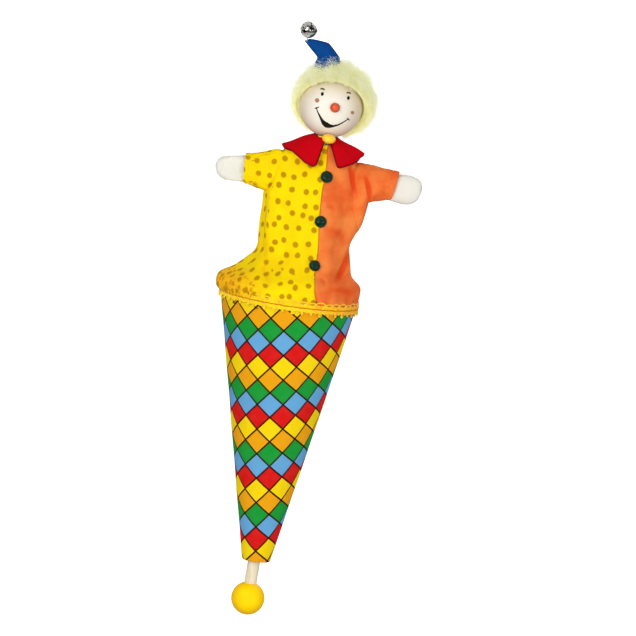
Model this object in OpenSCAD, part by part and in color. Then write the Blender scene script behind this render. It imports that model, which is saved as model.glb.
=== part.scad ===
// Pop-up puppet. A clown on a dowel pushes up out of a cloth-covered card cone and drops back into it.
// Sizes are in millimetres. The cone's axis is +Z, the origin is the middle of the cone's lower end,
// and the clown faces -Y. The dowel leans to +X in its loose guide, as it does in the hand.

/* [Cone] */
// Length of the cone from its lower end to the rim
cone_len = 210; // [190:1:230]
// Outer radius of the covered cone at the rim
mouth_r = 54; // [52:0.5:58]
// Outer radius of the covered cone at its lower end
tip_r = 11.2; // [11:0.1:14]
// Thickness of the rolled card
card_t = 1.2; // [0.8:0.1:1.4]
// Thickness of the printed cotton cover
cover_t = 0.5; // [0.4:0.1:0.8]
// Radius of the cover's turned edge round the lower end
turn_r = 1.6; // [1:0.1:2]
// Width of the cover's lapped seam down the back
lap_w = 7; // [4:0.5:12]
// Height of the guide ring in the lower end
guide_h = 9; // [6:0.5:14]
// Gap between the dowel and the hole in the guide ring
guide_gap = 1; // [0.8:0.1:1.2]

/* [Rim braid] */
// Height of the braid between its scallops
braid_h = 7.4; // [6:0.2:9]
// Thickness of the braid
braid_t = 1.5; // [1:0.1:2]
// Height of the scallops on each edge of the braid
scallop_h = 1.5; // [1:0.1:2]
// Number of scallops round the rim
scallops = 46; // [40:1:50]

/* [Stick] */
// Radius of the dowel
stick_r = 5; // [4.5:0.1:5.2]
// Lean of the dowel in its guide, in degrees
stick_lean = 2.4; // [1.8:0.1:2.6]
// Place of the dowel's axis across the cone's lower end
stick_foot_x = -1.4; // [-1.6:0.1:-1]
// Radius of the knob
knob_r = 13.4; // [12:0.1:15]
// Free dowel between the cone and the knob, with the clown up
knob_drop = 17.8; // [15:0.1:20]
// Depth of the knob's blind hole
knob_bore = 16; // [12:0.5:18]
// Gap between a wooden piece and the dowel or peg that is glued in it
glue_gap = 0.05; // [0.02:0.01:0.1]

/* [Head] */
// Radius of the head
head_r = 25; // [24:0.5:26]
// Gap between the collar's inner edge and the head
chin_gap = 4; // [3:0.1:4.5]
// Depth of the head's blind hole
head_bore = 20; // [15:0.5:25]
// Radius of the nose
nose_r = 3.9; // [3:0.1:4.5]
// How far the nose stands out of the head
nose_out = 5; // [4:0.1:5.5]
// Turn of the face to the clown's left, in degrees
face_yaw = 7; // [0:1:12]
// Drop of the nose below the middle of the face, in degrees
nose_drop = -2.5; // [-5:0.5:5]
// Thickness of the wig's plush
wig_t = 7; // [5.5:0.5:8]
// Slack of the wig round the head
wig_slack = 1.3; // [0.8:0.1:1.6]
// Tilt of the face opening's plane from upright, in degrees
wig_tilt = 35; // [30:1:40]
// How far the wig comes down below the middle of the head
wig_drop = 23.5; // [20:0.5:24]

/* [Hat and bell] */
// Thickness of the hat's felt
felt_t = 1.2; // [0.8:0.1:1.5]
// Radius of the bell
bell_r = 6.7; // [6:0.1:7]
// Thickness of the bell's metal
bell_t = 0.5; // [0.4:0.1:0.7]
// Width of the bell's slots
slot_w = 1; // [0.7:0.1:1.4]
// Radius of the loop that the bell hangs by
loop_r = 1.65; // [1.6:0.05:1.8]
// Radius of the loop's wire
loop_wire_r = 0.4; // [0.3:0.05:0.4]
// Radius of the loose pellet in the bell
pellet_r = 1.6; // [1.3:0.1:2]

/* [Costume] */
// Height of the bodice from the rim to the neck
bodice_h = 128; // [122:1:132]
// Thickness of the costume's cloth
cloth_t = 0.6; // [0.4:0.1:0.8]
// Half width of the waist
waist_w = 36; // [33:0.5:37]
// Half width of the chest on the yellow side
chest_w_yellow = 36; // [34:0.5:37]
// Half width of the chest on the orange side, which sits nearer to the leaning dowel
chest_w_orange = 31.5; // [30:0.5:32.5]
// Radius of the neck opening
neck_r = 9; // [8.6:0.1:9.6]
// Height of the widest roll over the rim
roll_h = 13; // [11:0.5:14]
// How far the roll swells past the rim on the yellow side
roll_out_yellow = 3.6; // [2:0.2:4]
// How far the roll swells past the rim on the orange side
roll_out_orange = 1; // [0.6:0.2:2]
// Depth of the bodice's folds
fold_d = 1.8; // [1:0.1:2]
// Number of folds round the bodice
folds = 9; // [7:1:11]
// Turn of the front seam at the rim, in degrees
seam_turn_rim = 23.5; // [15:0.5:26]
// Turn of the front seam at the neck, in degrees
seam_turn_neck = 13; // [10:0.5:16]
// Gap between the two halves of the bodice at the seams
seam_gap = 0.3; // [0.2:0.05:0.5]

/* [Trimmings] */
// Radius of a button
button_r = 4.8; // [4:0.1:5.4]
// Height of a button
button_h = 4; // [3:0.2:5]
// Height of the lowest button above the rim
button_low = 34.2; // [31:0.1:37]
// Height from one button to the next
button_step = 34.7; // [30:0.1:36]
// Radius of the bead at the throat
bead_r = 5.4; // [4.8:0.1:5.6]
// Height of the bead
bead_h = 7.6; // [6:0.2:8]
// Thickness of the collar's felt
collar_t = 1.4; // [1:0.1:1.6]
// Height of the thread binding round the neck
binding_h = 7; // [5:0.5:8]
// Thickness of the thread binding
binding_t = 2.2; // [1.6:0.1:2.4]
// Depth of each mitt's root in its sleeve
mitt_seat = 4; // [3:0.5:5]

/* [Gaps] */
// Gap between cloth and what moves or lies beside it
cloth_gap = 0.3; // [0.2:0.05:0.4]
// Glue line between two layers of the cone
layer_gap = 0.1; // [0.05:0.01:0.15]
// Running gap between the binding and the dowel
run_gap = 0.08; // [0.05:0.01:0.1]

/* [Hidden] */
round_fn = 96;
small_fn = 48;
wire_fn = 24;
tiny = 0.01;
half_steps = 20;
bodice_rows = [for (q = [0.003, 0.027, 0.045, 0.07, 0.1, 0.14, 0.175, 0.205, 0.24, 0.285, 0.34, 0.4, 0.47,
    0.54, 0.61, 0.68, 0.75, 0.82, 0.87, 0.91, 0.95, 0.975, 1]) q * bodice_h];
peg_r = 1.2;
peg_len = 6;
tip_wire_r = 0.85;
flange_out = 0.4;
flange_t = 0.4;
slot_turn = 20;
slot_reach = 52;
braid_below = 2;
collar_rise = 3.2;
collar_hump = 2.2;

// A wall's width measured level, for each unit of its thickness
slope = (mouth_r - tip_r) / cone_len;
level = sqrt(1 + slope * slope);
flare = atan(slope);
hole_r = stick_r + guide_gap;

// Heights along the dowel, measured from the cone's lower end
knob_z = -knob_drop - knob_r;
neck_z = (cone_len + bodice_h) / cos(stick_lean);
collar_z = neck_z + collar_rise;
head_z = collar_z + chin_gap + sqrt(head_r * head_r - neck_r * neck_r);
wig_in_r = head_r + wig_slack;
wig_r = wig_in_r + wig_t;
hat_z = head_z + wig_r;
loop_x = -27;
loop_z = hat_z + 14.9;
bell_z = loop_z + loop_r + bell_r;

// The bodice's cloth keeps inside the braid up to this height over the rim
hem_h = braid_h / 2 - braid_below + scallop_h + cloth_gap;

// Shapes built from rings and grids of points

// A power of a value that keeps its sign
function soft(x, power) = sign(x) * pow(abs(x), power);

// An oval ring of n points round c, half width a along the slant s in the XZ plane, half depth b in Y
function oval(c, a, b, s, n = 16, p = 2) = [
    for (i = [0 : n - 1])
    let (t = 360 * i / n, u = soft(cos(t), 2 / p), v = soft(sin(t), 2 / p))
    c + [a * u * cos(s), b * v, a * u * sin(s)]
];

// A closed skin through rings that have the same number of points, whichever way they turn
module loft(rings) {
    n = len(rings[0]);
    last = (len(rings) - 1) * n;
    turn = cross(rings[0][1] - rings[0][0], rings[0][2] - rings[0][1]);
    left = turn * (rings[1][0] - rings[0][0]) > 0;
    faces = concat(
        [for (j = [0 : len(rings) - 2], i = [0 : n - 1])
            let (a = j * n + i, b = j * n + (i + 1) % n) each [[a, a + n, b], [b, a + n, b + n]]],
        [for (i = [1 : n - 2]) [0, i, i + 1]],
        [for (i = [1 : n - 2]) [last, last + i + 1, last + i]]
    );
    polyhedron(
        points = [for (ring = rings, p = ring) p],
        faces = left ? faces : [for (f = faces) [f[2], f[1], f[0]]]
    );
}

// A closed sheet between an outer and an inner grid of points
module sheet(outer, inner) {
    m = len(outer);
    n = len(outer[0]);
    k = m * n;
    polyhedron(
        points = concat([for (row = outer, p = row) p], [for (row = inner, p = row) p]),
        faces = concat(
            [for (j = [0 : m - 2], i = [0 : n - 2])
                let (a = j * n + i) each [[a, a + n, a + 1], [a + 1, a + n, a + n + 1],
                    [k + a, k + a + 1, k + a + n], [k + a + 1, k + a + n + 1, k + a + n]]],
            [for (i = [0 : n - 2]) let (a = i) each [[a, a + 1, k + a], [a + 1, k + a + 1, k + a]]],
            [for (i = [0 : n - 2])
                let (a = (m - 1) * n + i) each [[a, k + a, a + 1], [a + 1, k + a, k + a + 1]]],
            [for (j = [0 : m - 2]) let (a = j * n) each [[a, k + a, a + n], [a + n, k + a, k + a + n]]],
            [for (j = [0 : m - 2])
                let (a = j * n + n - 1) each [[a, a + n, k + a], [a + n, k + a + n, k + a]]]
        )
    );
}

// Places its children in the dowel's own upright frame
module on_stick(z = 0) {
    translate([stick_foot_x, 0, 0]) rotate([0, stick_lean, 0]) translate([0, 0, z]) children();
}

// The cone

function cone_r(z) = tip_r + slope * z;
function card_out_r(z) = cone_r(z) - (cover_t + layer_gap) * level;
function card_in_r(z) = card_out_r(z) - card_t * level;

module cone_shell() {
    foot = cover_t + layer_gap;
    color("tan") rotate_extrude($fn = round_fn)
        polygon([
            [card_out_r(foot), foot], [card_out_r(cone_len), cone_len],
            [card_in_r(cone_len), cone_len], [card_in_r(foot), foot]
        ]);
}

module cone_cover() {
    turn_x = cone_r(turn_r * (1 - sin(flare))) - turn_r * cos(flare);
    turned_r = card_in_r(0) - 1;
    cloth = cover_t * level;
    turn = [for (t = [-90 : 15 : -flare]) [turn_x + turn_r * cos(t), turn_r + turn_r * sin(t)]];
    color("gold") union() {
        rotate_extrude($fn = round_fn)
            polygon(concat(
                [[turned_r, 0]], turn,
                [[mouth_r, cone_len], [mouth_r - cloth, cone_len],
                 [cone_r(cover_t) - cloth, cover_t], [turned_r, cover_t]]
            ));
        // The cloth's free edge lies over the other down the back
        intersection() {
            rotate_extrude($fn = round_fn)
                polygon([
                    [cone_r(turn_r) - cloth / 2, turn_r], [cone_r(turn_r) + cloth, turn_r],
                    [mouth_r + cloth, cone_len], [mouth_r - cloth / 2, cone_len]
                ]);
            translate([-lap_w / 2, 0, 0]) cube([lap_w, 2 * mouth_r, cone_len]);
        }
    }
}

// The guide ring fills the cone's lower end, and the dowel runs through it with room to lean
module tip_guide() {
    foot = cover_t + layer_gap;
    top = foot + guide_h;
    color("burlywood") difference() {
        rotate_extrude($fn = round_fn)
            polygon([
                [0, foot], [card_in_r(foot) - layer_gap, foot],
                [card_in_r(top) - layer_gap, top], [0, top]
            ]);
        on_stick(-guide_h) cylinder(r = hole_r, h = 3 * guide_h, $fn = round_fn);
    }
}

// A crocheted band round the rim with a scalloped edge above and below
module rim_braid() {
    in_r = mouth_r + cover_t * level + layer_gap;
    steps = 4 * scallops;
    function wave(i) = scallop_h * [0, 0.75, 1, 0.75][i % 4];
    function ring(i) = let (
        t = 360 * i / steps,
        edge = braid_h / 2 + wave(i),
        out_r = in_r + braid_t,
        section = [[in_r, -edge], [out_r, -edge + 0.4], [out_r, edge - 0.4], [in_r, edge]]
    ) [for (q = section) [q[0] * cos(t), q[0] * sin(t), cone_len - braid_below + q[1]]];
    points = [for (i = [0 : steps - 1], q = ring(i)) q];
    color("orange") polyhedron(
        points = points,
        faces = [for (i = [0 : steps - 1], j = [0 : 3])
            let (a = 4 * i + j, b = 4 * i + (j + 1) % 4, c = 4 * ((i + 1) % steps) + j,
                d = 4 * ((i + 1) % steps) + (j + 1) % 4) each [[a, b, c], [b, d, c]]]
    );
}

// The stick with its knob and head

module stick() {
    foot = knob_z + knob_r - knob_bore + glue_gap;
    top = head_z - head_r + head_bore - glue_gap;
    color("wheat") on_stick(foot) cylinder(r = stick_r, h = top - foot, $fn = round_fn);
}

module knob() {
    color("yellow") on_stick(knob_z) difference() {
        sphere(r = knob_r, $fn = round_fn);
        translate([0, 0, knob_r - knob_bore])
            cylinder(r = stick_r + glue_gap, h = knob_bore + 1, $fn = round_fn);
    }
}

// Turns its children so that their -Z points out of the face, at the nose
module at_nose() {
    rotate([0, 0, face_yaw]) rotate([-90 + nose_drop, 0, 0]) children();
}

module head() {
    color("antiquewhite") on_stick(head_z) difference() {
        sphere(r = head_r, $fn = round_fn);
        translate([0, 0, -head_r - 1])
            cylinder(r = stick_r + glue_gap, h = head_bore + 1, $fn = round_fn);
        at_nose() translate([0, 0, -head_r - 1])
            cylinder(r = peg_r + glue_gap, h = peg_len + 1, $fn = small_fn);
    }
}

// A turned ball, flat-seated on the head, with a peg that is glued into it
module nose() {
    color("coral") on_stick(head_z) union() {
        difference() {
            at_nose() translate([0, 0, nose_r - head_r - nose_out]) sphere(r = nose_r, $fn = small_fn);
            sphere(r = head_r + glue_gap, $fn = round_fn);
        }
        at_nose() translate([0, 0, nose_r - head_r - nose_out])
            cylinder(r = peg_r, h = nose_out - nose_r + peg_len - glue_gap, $fn = small_fn);
    }
}

// A plush hood over the crown and the back of the head. Its edge is a roll round the face.
module wig() {
    edge_r = wig_t / 2;
    edge_mid = wig_in_r + edge_r;
    edge_z = edge_r - 1.5;
    lift = asin(edge_z / edge_mid);
    outer = [for (t = [90 : -10 : 20]) wig_r * [cos(t), sin(t)]];
    edge = [for (t = [0 : -20 : -180])
        [edge_mid * cos(lift) + edge_r * cos(t + lift), edge_z + edge_r * sin(t + lift)]];
    inner = [for (t = [20 : 10 : 90]) wig_in_r * [cos(t), sin(t)]];
    color("lemonchiffon") on_stick(head_z) difference() {
        translate([wig_slack - cloth_gap, 0, 0]) rotate([wig_tilt - 90, 0, 0])
            rotate_extrude($fn = round_fn)
                polygon(concat([[0, wig_r]], outer, edge, inner, [[0, wig_in_r]]));
        translate([-2 * wig_r, -2 * wig_r, -4 * wig_r])
            cube([4 * wig_r, 4 * wig_r, 4 * wig_r - wig_drop]);
    }
}

// The hat and the bell

// Rings of the hat: middle x, height over the wig's crown, half width, half depth, slant of the ring
hat_rings = [
    [-8, -8, 11, 9.5, 0],
    [-8.2, 0.5, 9.6, 8.8, 5],
    [-8.4, 4.5, 8.6, 7.8, 12],
    [-11, 7.2, 7.4, 6.8, 27],
    [-15, 10.6, 7, 5.6, 40],
    [-19.6, 12.4, 5.2, 4.2, 40],
    [-23.5, 13.8, 2.8, 2.6, 42],
    [-25.5, 14.6, 0.95, 0.9, 60]
];

module hat() {
    function rings(inset, count) = [for (i = [0 : count - 1]) let (q = hat_rings[i])
        oval([q[0], 0, hat_z + q[1]], q[2] - inset, q[3] - inset, q[4])];
    color("royalblue") on_stick() union() {
        difference() {
            loft(rings(0, len(hat_rings)));
            loft(rings(felt_t, len(hat_rings) - 2));
            translate([wig_slack - cloth_gap, 0, head_z]) sphere(r = wig_r + layer_gap, $fn = round_fn);
        }
        // The twisted point of the felt goes through the bell's loop
        translate([loop_x - 2, 0, loop_z]) rotate([0, 90, 0])
            cylinder(r = tip_wire_r, h = 4.4, $fn = small_fn);
    }
}

module at_bell() {
    on_stick(bell_z) translate([loop_x, 0, 0]) children();
}

// Half of the bell's hollow ball, with its share of the crimped seam
module bell_half() {
    color("silver") difference() {
        union() {
            sphere(r = bell_r, $fn = round_fn);
            cylinder(r = bell_r + flange_out, h = flange_t, $fn = round_fn);
        }
        sphere(r = bell_r - bell_t, $fn = round_fn);
        translate([-2 * bell_r, -2 * bell_r, -4 * bell_r]) cube([4 * bell_r, 4 * bell_r, 4 * bell_r]);
    }
}

module bell_lower() {
    color("silver") at_bell() union() {
        mirror([0, 0, 1]) bell_half();
        translate([0, 0, loop_z - bell_z]) rotate([0, 90, 0])
            rotate_extrude($fn = small_fn) translate([loop_r, 0]) circle(r = loop_wire_r, $fn = wire_fn);
    }
}

// The upper half has the crossed slots, each end of them opened out by a round hole
module bell_upper() {
    reach = bell_r * sin(slot_reach);
    color("silver") at_bell() translate([0, 0, tiny]) difference() {
        bell_half();
        for (t = [0, 90]) rotate([0, 0, t + slot_turn]) {
            translate([-reach, -slot_w / 2, 0.6 * bell_r]) cube([2 * reach, slot_w, bell_r]);
            for (s = [-1, 1]) translate([s * reach, 0, 0.45 * bell_r])
                cylinder(r = slot_w, h = bell_r, $fn = wire_fn);
        }
    }
}

module bell_pellet() {
    color("gray") at_bell() translate([0, 0, pellet_r - bell_r + bell_t + glue_gap])
        sphere(r = pellet_r, $fn = small_fn);
}

// The costume. h is a height above the rim and phi an angle round the body, 0 in front and 90 at +X.

// The dowel's place across the cone at a height above the rim
function stick_x(h) = stick_foot_x + (cone_len + h) * tan(stick_lean);

// Side outlines of the bodice, as places across the cone
function left_x(h) = lookup(h, [
    [0, -mouth_r], [hem_h, -mouth_r - 0.2], [hem_h + 2.4, -mouth_r - 0.85 * roll_out_yellow],
    [roll_h, -mouth_r - roll_out_yellow],
    [roll_h + 5, -mouth_r - 0.2 * roll_out_yellow], [roll_h + 9, stick_x(22) - waist_w - 17],
    [roll_h + 15, stick_x(28) - waist_w - 9.5], [roll_h + 23, stick_x(36) - waist_w - 3],
    [roll_h + 32, stick_x(45) - waist_w - 3], [0.55 * bodice_h, stick_x(70) - waist_w - 4.5],
    [0.65 * bodice_h, stick_x(83) - waist_w - 5], [0.7 * bodice_h, stick_x(90) - chest_w_yellow - 1],
    [0.82 * bodice_h, stick_x(105) - chest_w_yellow],
    [0.9 * bodice_h, stick_x(115) - 0.95 * chest_w_yellow],
    [0.95 * bodice_h, stick_x(121.5) - 0.75 * chest_w_yellow], [bodice_h, stick_x(128) - neck_r]
]);
function right_x(h) = lookup(h, [
    [0, mouth_r], [hem_h, mouth_r + 0.2], [hem_h + 2.4, mouth_r + 0.6 * roll_out_orange],
    [roll_h, mouth_r + roll_out_orange],
    [roll_h + 6, mouth_r + 0.3 * roll_out_orange], [roll_h + 10, stick_x(23) + waist_w + 5.5],
    [roll_h + 14, stick_x(27) + waist_w + 2], [roll_h + 27, stick_x(40) + waist_w - 1.5],
    [roll_h + 38, stick_x(51) + waist_w - 3.5], [0.48 * bodice_h, stick_x(62) + waist_w],
    [0.53 * bodice_h, stick_x(68) + waist_w + 0.5], [0.59 * bodice_h, stick_x(75.5) + chest_w_orange + 3.5],
    [0.66 * bodice_h, stick_x(84) + chest_w_orange + 1.5], [0.74 * bodice_h, stick_x(95) + chest_w_orange],
    [0.9 * bodice_h, stick_x(115) + 0.98 * chest_w_orange],
    [0.95 * bodice_h, stick_x(121.5) + 0.84 * chest_w_orange], [bodice_h, stick_x(128) + neck_r]
]);
// Half depth of the bodice, front to back
function depth(h) = lookup(h, [
    [0, mouth_r], [hem_h, mouth_r + 0.2], [hem_h + 2.4, mouth_r + 1.2], [roll_h, mouth_r + 1],
    [roll_h + 7, mouth_r - 4],
    [roll_h + 13, 0.78 * mouth_r], [roll_h + 22, 0.64 * mouth_r], [roll_h + 36, 0.55 * mouth_r],
    [0.55 * bodice_h, 0.49 * mouth_r], [0.7 * bodice_h, 0.4 * mouth_r], [0.82 * bodice_h, 0.29 * mouth_r],
    [0.9 * bodice_h, 0.2 * mouth_r], [0.95 * bodice_h, 0.17 * mouth_r], [bodice_h, neck_r]
]);
// The folds fade out at the braid and at the neck, and lean over as the cloth twists
function fold(h, phi) = let (
    t = h / bodice_h,
    fade = sin(180 * pow(max(h - hem_h, 0) / (bodice_h - hem_h), 0.7))
) fold_d * fade * (0.7 * cos(folds * phi + 200 * t) + 0.45 * cos((folds - 4) * phi - 260 * t + 60));
function seam_turn(h) = seam_turn_neck + (seam_turn_rim - seam_turn_neck) * pow(1 - h / bodice_h, 2.4);

function bodice_point(h, phi) = let (
    a = (right_x(h) - left_x(h)) / 2,
    mid = (right_x(h) + left_x(h)) / 2,
    f = 1 + fold(h, phi) / a,
    x = a * f * sin(phi),
    rise = -tan(stick_lean) * x * h / bodice_h
) [mid + x, -depth(h) * f * cos(phi), cone_len + h + rise];
function bodice_normal(h, phi) = let (
    e = 0.4,
    low = max(h - e, 0),
    high = min(h + e, bodice_h),
    across = bodice_point(h, phi + 2) - bodice_point(h, phi - 2),
    up = bodice_point(high, phi) - bodice_point(low, phi),
    n = cross(across, up)
) n / norm(n);

// Half of the bodice, from one seam round to the other. start is 0 for the orange half, 180 for the yellow.
module bodice_half(start) {
    function turn(h, i) = let (gap = 57.3 * seam_gap / 2 / max(neck_r, depth(h)))
        start + seam_turn(h) + gap + (180 - 2 * gap) * i / half_steps;
    outer = [for (h = bodice_rows) [for (i = [0 : half_steps]) bodice_point(h, turn(h, i))]];
    inner = [for (h = bodice_rows)
        [for (i = [0 : half_steps]) bodice_point(h, turn(h, i)) - cloth_t * bodice_normal(h, turn(h, i))]];
    sheet(outer, inner);
}

module bodice_yellow() {
    color("yellow") bodice_half(180);
}

module bodice_orange() {
    color("orangered") bodice_half(0);
}

// The bodice as one full body, swelled by a gap, to cut what lies against it
module bodice_body(gap) {
    n = 40;
    loft([for (h = bodice_rows) [for (i = [0 : n - 1])
        let (phi = 360 * i / n) bodice_point(h, phi) + gap * bodice_normal(h, phi)]]);
}

module neck_binding() {
    color("ivory") on_stick(neck_z - binding_h) difference() {
        cylinder(r = stick_r + run_gap + binding_t, h = binding_h, $fn = round_fn);
        translate([0, 0, -1]) cylinder(r = stick_r + run_gap, h = binding_h + 2, $fn = round_fn);
    }
}

// The collar's outer edge, from the slit's left side round the back to its right side:
// place across, place in depth and drop below the neck edge
collar_edge = [
    [-4.6, -18, 21.5], [-13.6, -17.5, 20.5], [-22, -12.5, 16], [-30.7, -5.5, 11.2], [-32.7, -2, 9.4],
    [-29.5, 6, 9.4], [-22, 14.5, 10], [-11.5, 19.5, 11], [0, 21, 11.4], [11.5, 19.5, 10.6], [22, 14.5, 8.6],
    [29.5, 6, 6.8], [32.3, -2, 6.2], [27, -6, 10.4], [30, -8, 12], [24, -13.5, 15.4], [13.2, -18, 20]
];

module collar() {
    n = len(collar_edge) - 1;
    in_r = neck_r + 0.6;
    start = -168;
    function neck_point(i) = let (t = start + 9 + 336 * i / n) [in_r * sin(t), in_r * cos(t), 0];
    function edge_point(i) = let (q = collar_edge[i]) [q[0], q[1], -q[2]];
    function at(i, t) = let (a = neck_point(i), b = edge_point(i))
        a + (b - a) * t + [0, 0, collar_hump * sin(180 * t)];
    top = [for (i = [0 : n]) [for (j = [0 : 3]) at(i, j / 3)]];
    low = [for (row = top) [for (p = row) p - [0, 0, collar_t]]];
    color("crimson") on_stick(collar_z) sheet(low, top);
}

module throat_bead() {
    color("gold") on_stick(collar_z + 2.8) translate([2.6, -neck_r - bead_r - 2.8, 0])
        scale([1, 1, bead_h / 2 / bead_r]) sphere(r = bead_r, $fn = small_fn);
}

// A domed button on the front seam at a height above the rim
module button(h) {
    phi = seam_turn(h);
    p = bodice_point(h, phi);
    n = bodice_normal(h, phi);
    reach = 57.3 * button_r / (right_x(h) - left_x(h)) * 2;
    cloth_under = max([for (t = [0 : 30 : 330])
        (bodice_point(h + button_r * sin(t), phi + reach * cos(t)) - p) * n]);
    dome_r = (button_r * button_r + button_h * button_h) / (2 * button_h);
    color("darkgreen") translate(p + (cloth_gap + max(cloth_under, fold_d / 6)) * n)
        rotate([0, acos(n[2]), atan2(n[1], n[0])]) intersection() {
            translate([0, 0, button_h - dome_r]) sphere(r = dome_r, $fn = small_fn);
            cylinder(r = 2 * button_r, h = button_h, $fn = small_fn);
        }
}

module button_bottom() {
    button(button_low);
}

module button_middle() {
    button(button_low + button_step);
}

module button_top() {
    button(button_low + 2 * button_step);
}

// Stations along each arm: place across from the dowel, lowest and highest point below the neck, half depth
sleeve_left = [
    [33, -43, -14.5, 5], [36, -45.6, -11.6, 9], [39, -45.8, -11.6, 11], [42, -45.6, -12.5, 11.4],
    [46, -45.2, -13.8, 11], [52, -44.4, -15.7, 10.2], [59.2, -42.6, -18, 9.4]
];
sleeve_right = [
    [28, -52, -14, 5], [31, -66, -11, 8.5], [34, -70.5, -9.9, 11.2], [37.2, -66, -9.9, 12],
    [39.4, -58.5, -10, 12], [40.8, -49, -10.1, 11.8], [41.8, -41, -10.2, 11.2], [50, -38.5, -11.2, 10.4],
    [59.6, -36.4, -12.5, 9.4]
];
mitt_left_form = [
    [59.2 - mitt_seat, -40.4, -19.4, 6.4], [62, -40.8, -19.2, 6.6], [70, -41, -20.6, 6.2],
    [76.5, -39.6, -22.6, 5.2], [80.4, -36, -25.6, 3.8], [82, -32.6, -28.8, 2]
];
mitt_right_form = [
    [59.6 - mitt_seat, -35, -14.6, 6.4], [62, -36.6, -13.8, 6.6], [70, -37, -13.6, 6.2],
    [76, -35.4, -15, 5.2], [80, -31, -17.6, 3.8], [81.7, -26, -20.4, 2]
];

// A limb through its stations, grown by a gap all round
module limb(stations, grow = 0, p = 2.4) {
    loft([for (q = stations)
        oval([q[0], 0, (q[1] + q[2]) / 2], (q[2] - q[1]) / 2 + grow, q[3] + grow, 90, 20, p)]);
}

// A sleeve with a pocket in its end, cut clear of the bodice that it is sewn to
module sleeve(stations, mitt, side) {
    first = mitt[0];
    pocket = [[first[0] - cloth_gap, first[1], first[2], first[3]], first, mitt[1]];
    difference() {
        on_stick(neck_z) mirror([side < 0 ? 1 : 0, 0, 0]) difference() {
            limb(stations);
            limb(pocket, cloth_gap);
        }
        bodice_body(2 * cloth_gap);
    }
}

module sleeve_yellow() {
    color("yellow") sleeve(sleeve_left, mitt_left_form, -1);
}

module sleeve_orange() {
    color("orangered") sleeve(sleeve_right, mitt_right_form, 1);
}

module mitt_left() {
    color("white") on_stick(neck_z) mirror([1, 0, 0]) limb(mitt_left_form);
}

module mitt_right() {
    color("white") on_stick(neck_z) limb(mitt_right_form);
}

cone_shell();
cone_cover();
rim_braid();
tip_guide();
stick();
knob();
head();
nose();
wig();
hat();
bell_lower();
bell_upper();
bell_pellet();
bodice_yellow();
bodice_orange();
neck_binding();
collar();
throat_bead();
button_bottom();
button_middle();
button_top();
sleeve_yellow();
sleeve_orange();
mitt_left();
mitt_right();
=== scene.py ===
# %% [markdown]
# # A pop-up puppet
# The clown rides on a dowel that slides through a cloth-covered card cone. The solids come from the packed
# frame, and this lesson dresses them: printed cotton, crochet, plush, felt, paint and metal, each made from a
# short formula. Lengths are written in millimetres and turned into metres once, where a mesh is made.

# %% Tools and the frame
import math

import bpy
import numpy as np
from mathutils import Matrix, Vector


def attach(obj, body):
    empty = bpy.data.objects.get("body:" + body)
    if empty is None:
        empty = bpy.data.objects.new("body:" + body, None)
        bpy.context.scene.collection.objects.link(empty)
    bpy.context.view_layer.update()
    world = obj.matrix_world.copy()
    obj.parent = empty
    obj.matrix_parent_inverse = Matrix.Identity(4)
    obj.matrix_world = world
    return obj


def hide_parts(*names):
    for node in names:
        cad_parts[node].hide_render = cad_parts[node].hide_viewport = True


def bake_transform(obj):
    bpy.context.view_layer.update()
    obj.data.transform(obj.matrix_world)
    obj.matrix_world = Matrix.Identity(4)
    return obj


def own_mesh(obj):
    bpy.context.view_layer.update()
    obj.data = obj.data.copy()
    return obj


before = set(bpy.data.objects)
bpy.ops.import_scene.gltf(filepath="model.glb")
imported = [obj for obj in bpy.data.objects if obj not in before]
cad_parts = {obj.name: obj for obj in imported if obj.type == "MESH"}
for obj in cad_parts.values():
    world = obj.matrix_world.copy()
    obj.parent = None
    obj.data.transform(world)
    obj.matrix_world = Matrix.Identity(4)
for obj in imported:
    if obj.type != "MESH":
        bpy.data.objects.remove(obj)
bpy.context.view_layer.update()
MM = 0.001
LEAN = math.radians(2.4)
FOOT_X = -1.4
CONE_LEN = 210.0
MOUTH_R = 54.0
TIP_R = 11.2
SLOPE = (MOUTH_R - TIP_R) / CONE_LEN
BODICE_H = 128.0
NECK_Z = (CONE_LEN + BODICE_H) / math.cos(LEAN)
COLLAR_Z = NECK_Z + 3.2
HEAD_R = 25.0
HEAD_Z = COLLAR_Z + 4.0 + math.sqrt(HEAD_R**2 - 9.0**2)
print("frame nodes:", len(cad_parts), "head at", round(HEAD_Z, 1))

# %% [markdown]
# Two frames share the work. The cone stands upright along Z. The dowel leans 2.4 degrees towards +X from a
# foot 1.4 mm off the middle, so whatever is on the dowel is written upright and then leaned.


# %% The dowel's frame
def stack(*parts):
    """Arrays of x, y and z as an array of points."""
    return np.stack(parts, -1)


def clamp(x):
    """x, but 0 where it is less and 1 where it is more."""
    return np.clip(x, 0, 1)


def circle(count):
    """Angles round a circle in equal steps, starting from 0."""
    return np.arange(count) * (2 * np.pi / count)


def on_stick(p):
    """Leans points of the dowel's own frame: x' = foot + x cos a + z sin a, z' = z cos a - x sin a."""
    p = np.asarray(p, float)
    x, y, z = p[..., 0], p[..., 1], p[..., 2]
    c, s = math.cos(LEAN), math.sin(LEAN)
    return stack(FOOT_X + x * c + z * s, y, z * c - x * s)


def stick_x(h):
    """Where the dowel's axis is across the cone, h above the rim."""
    return FOOT_X + (CONE_LEN + h) * math.tan(LEAN)


DOWEL_UP = on_stick([0, 0, 1]) - on_stick([0, 0, 0])
HEAD_AT = on_stick([0, 0, HEAD_Z])
print("dowel axis at the neck:", np.round(on_stick([0, 0, NECK_Z]), 2))

# %% [markdown]
# Every surface is a grid of points with quads between its rows. A closed grid joins its last column to its
# first, and reads its flat cloth coordinates from one column more, so that a print doesn't fold back.


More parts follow.
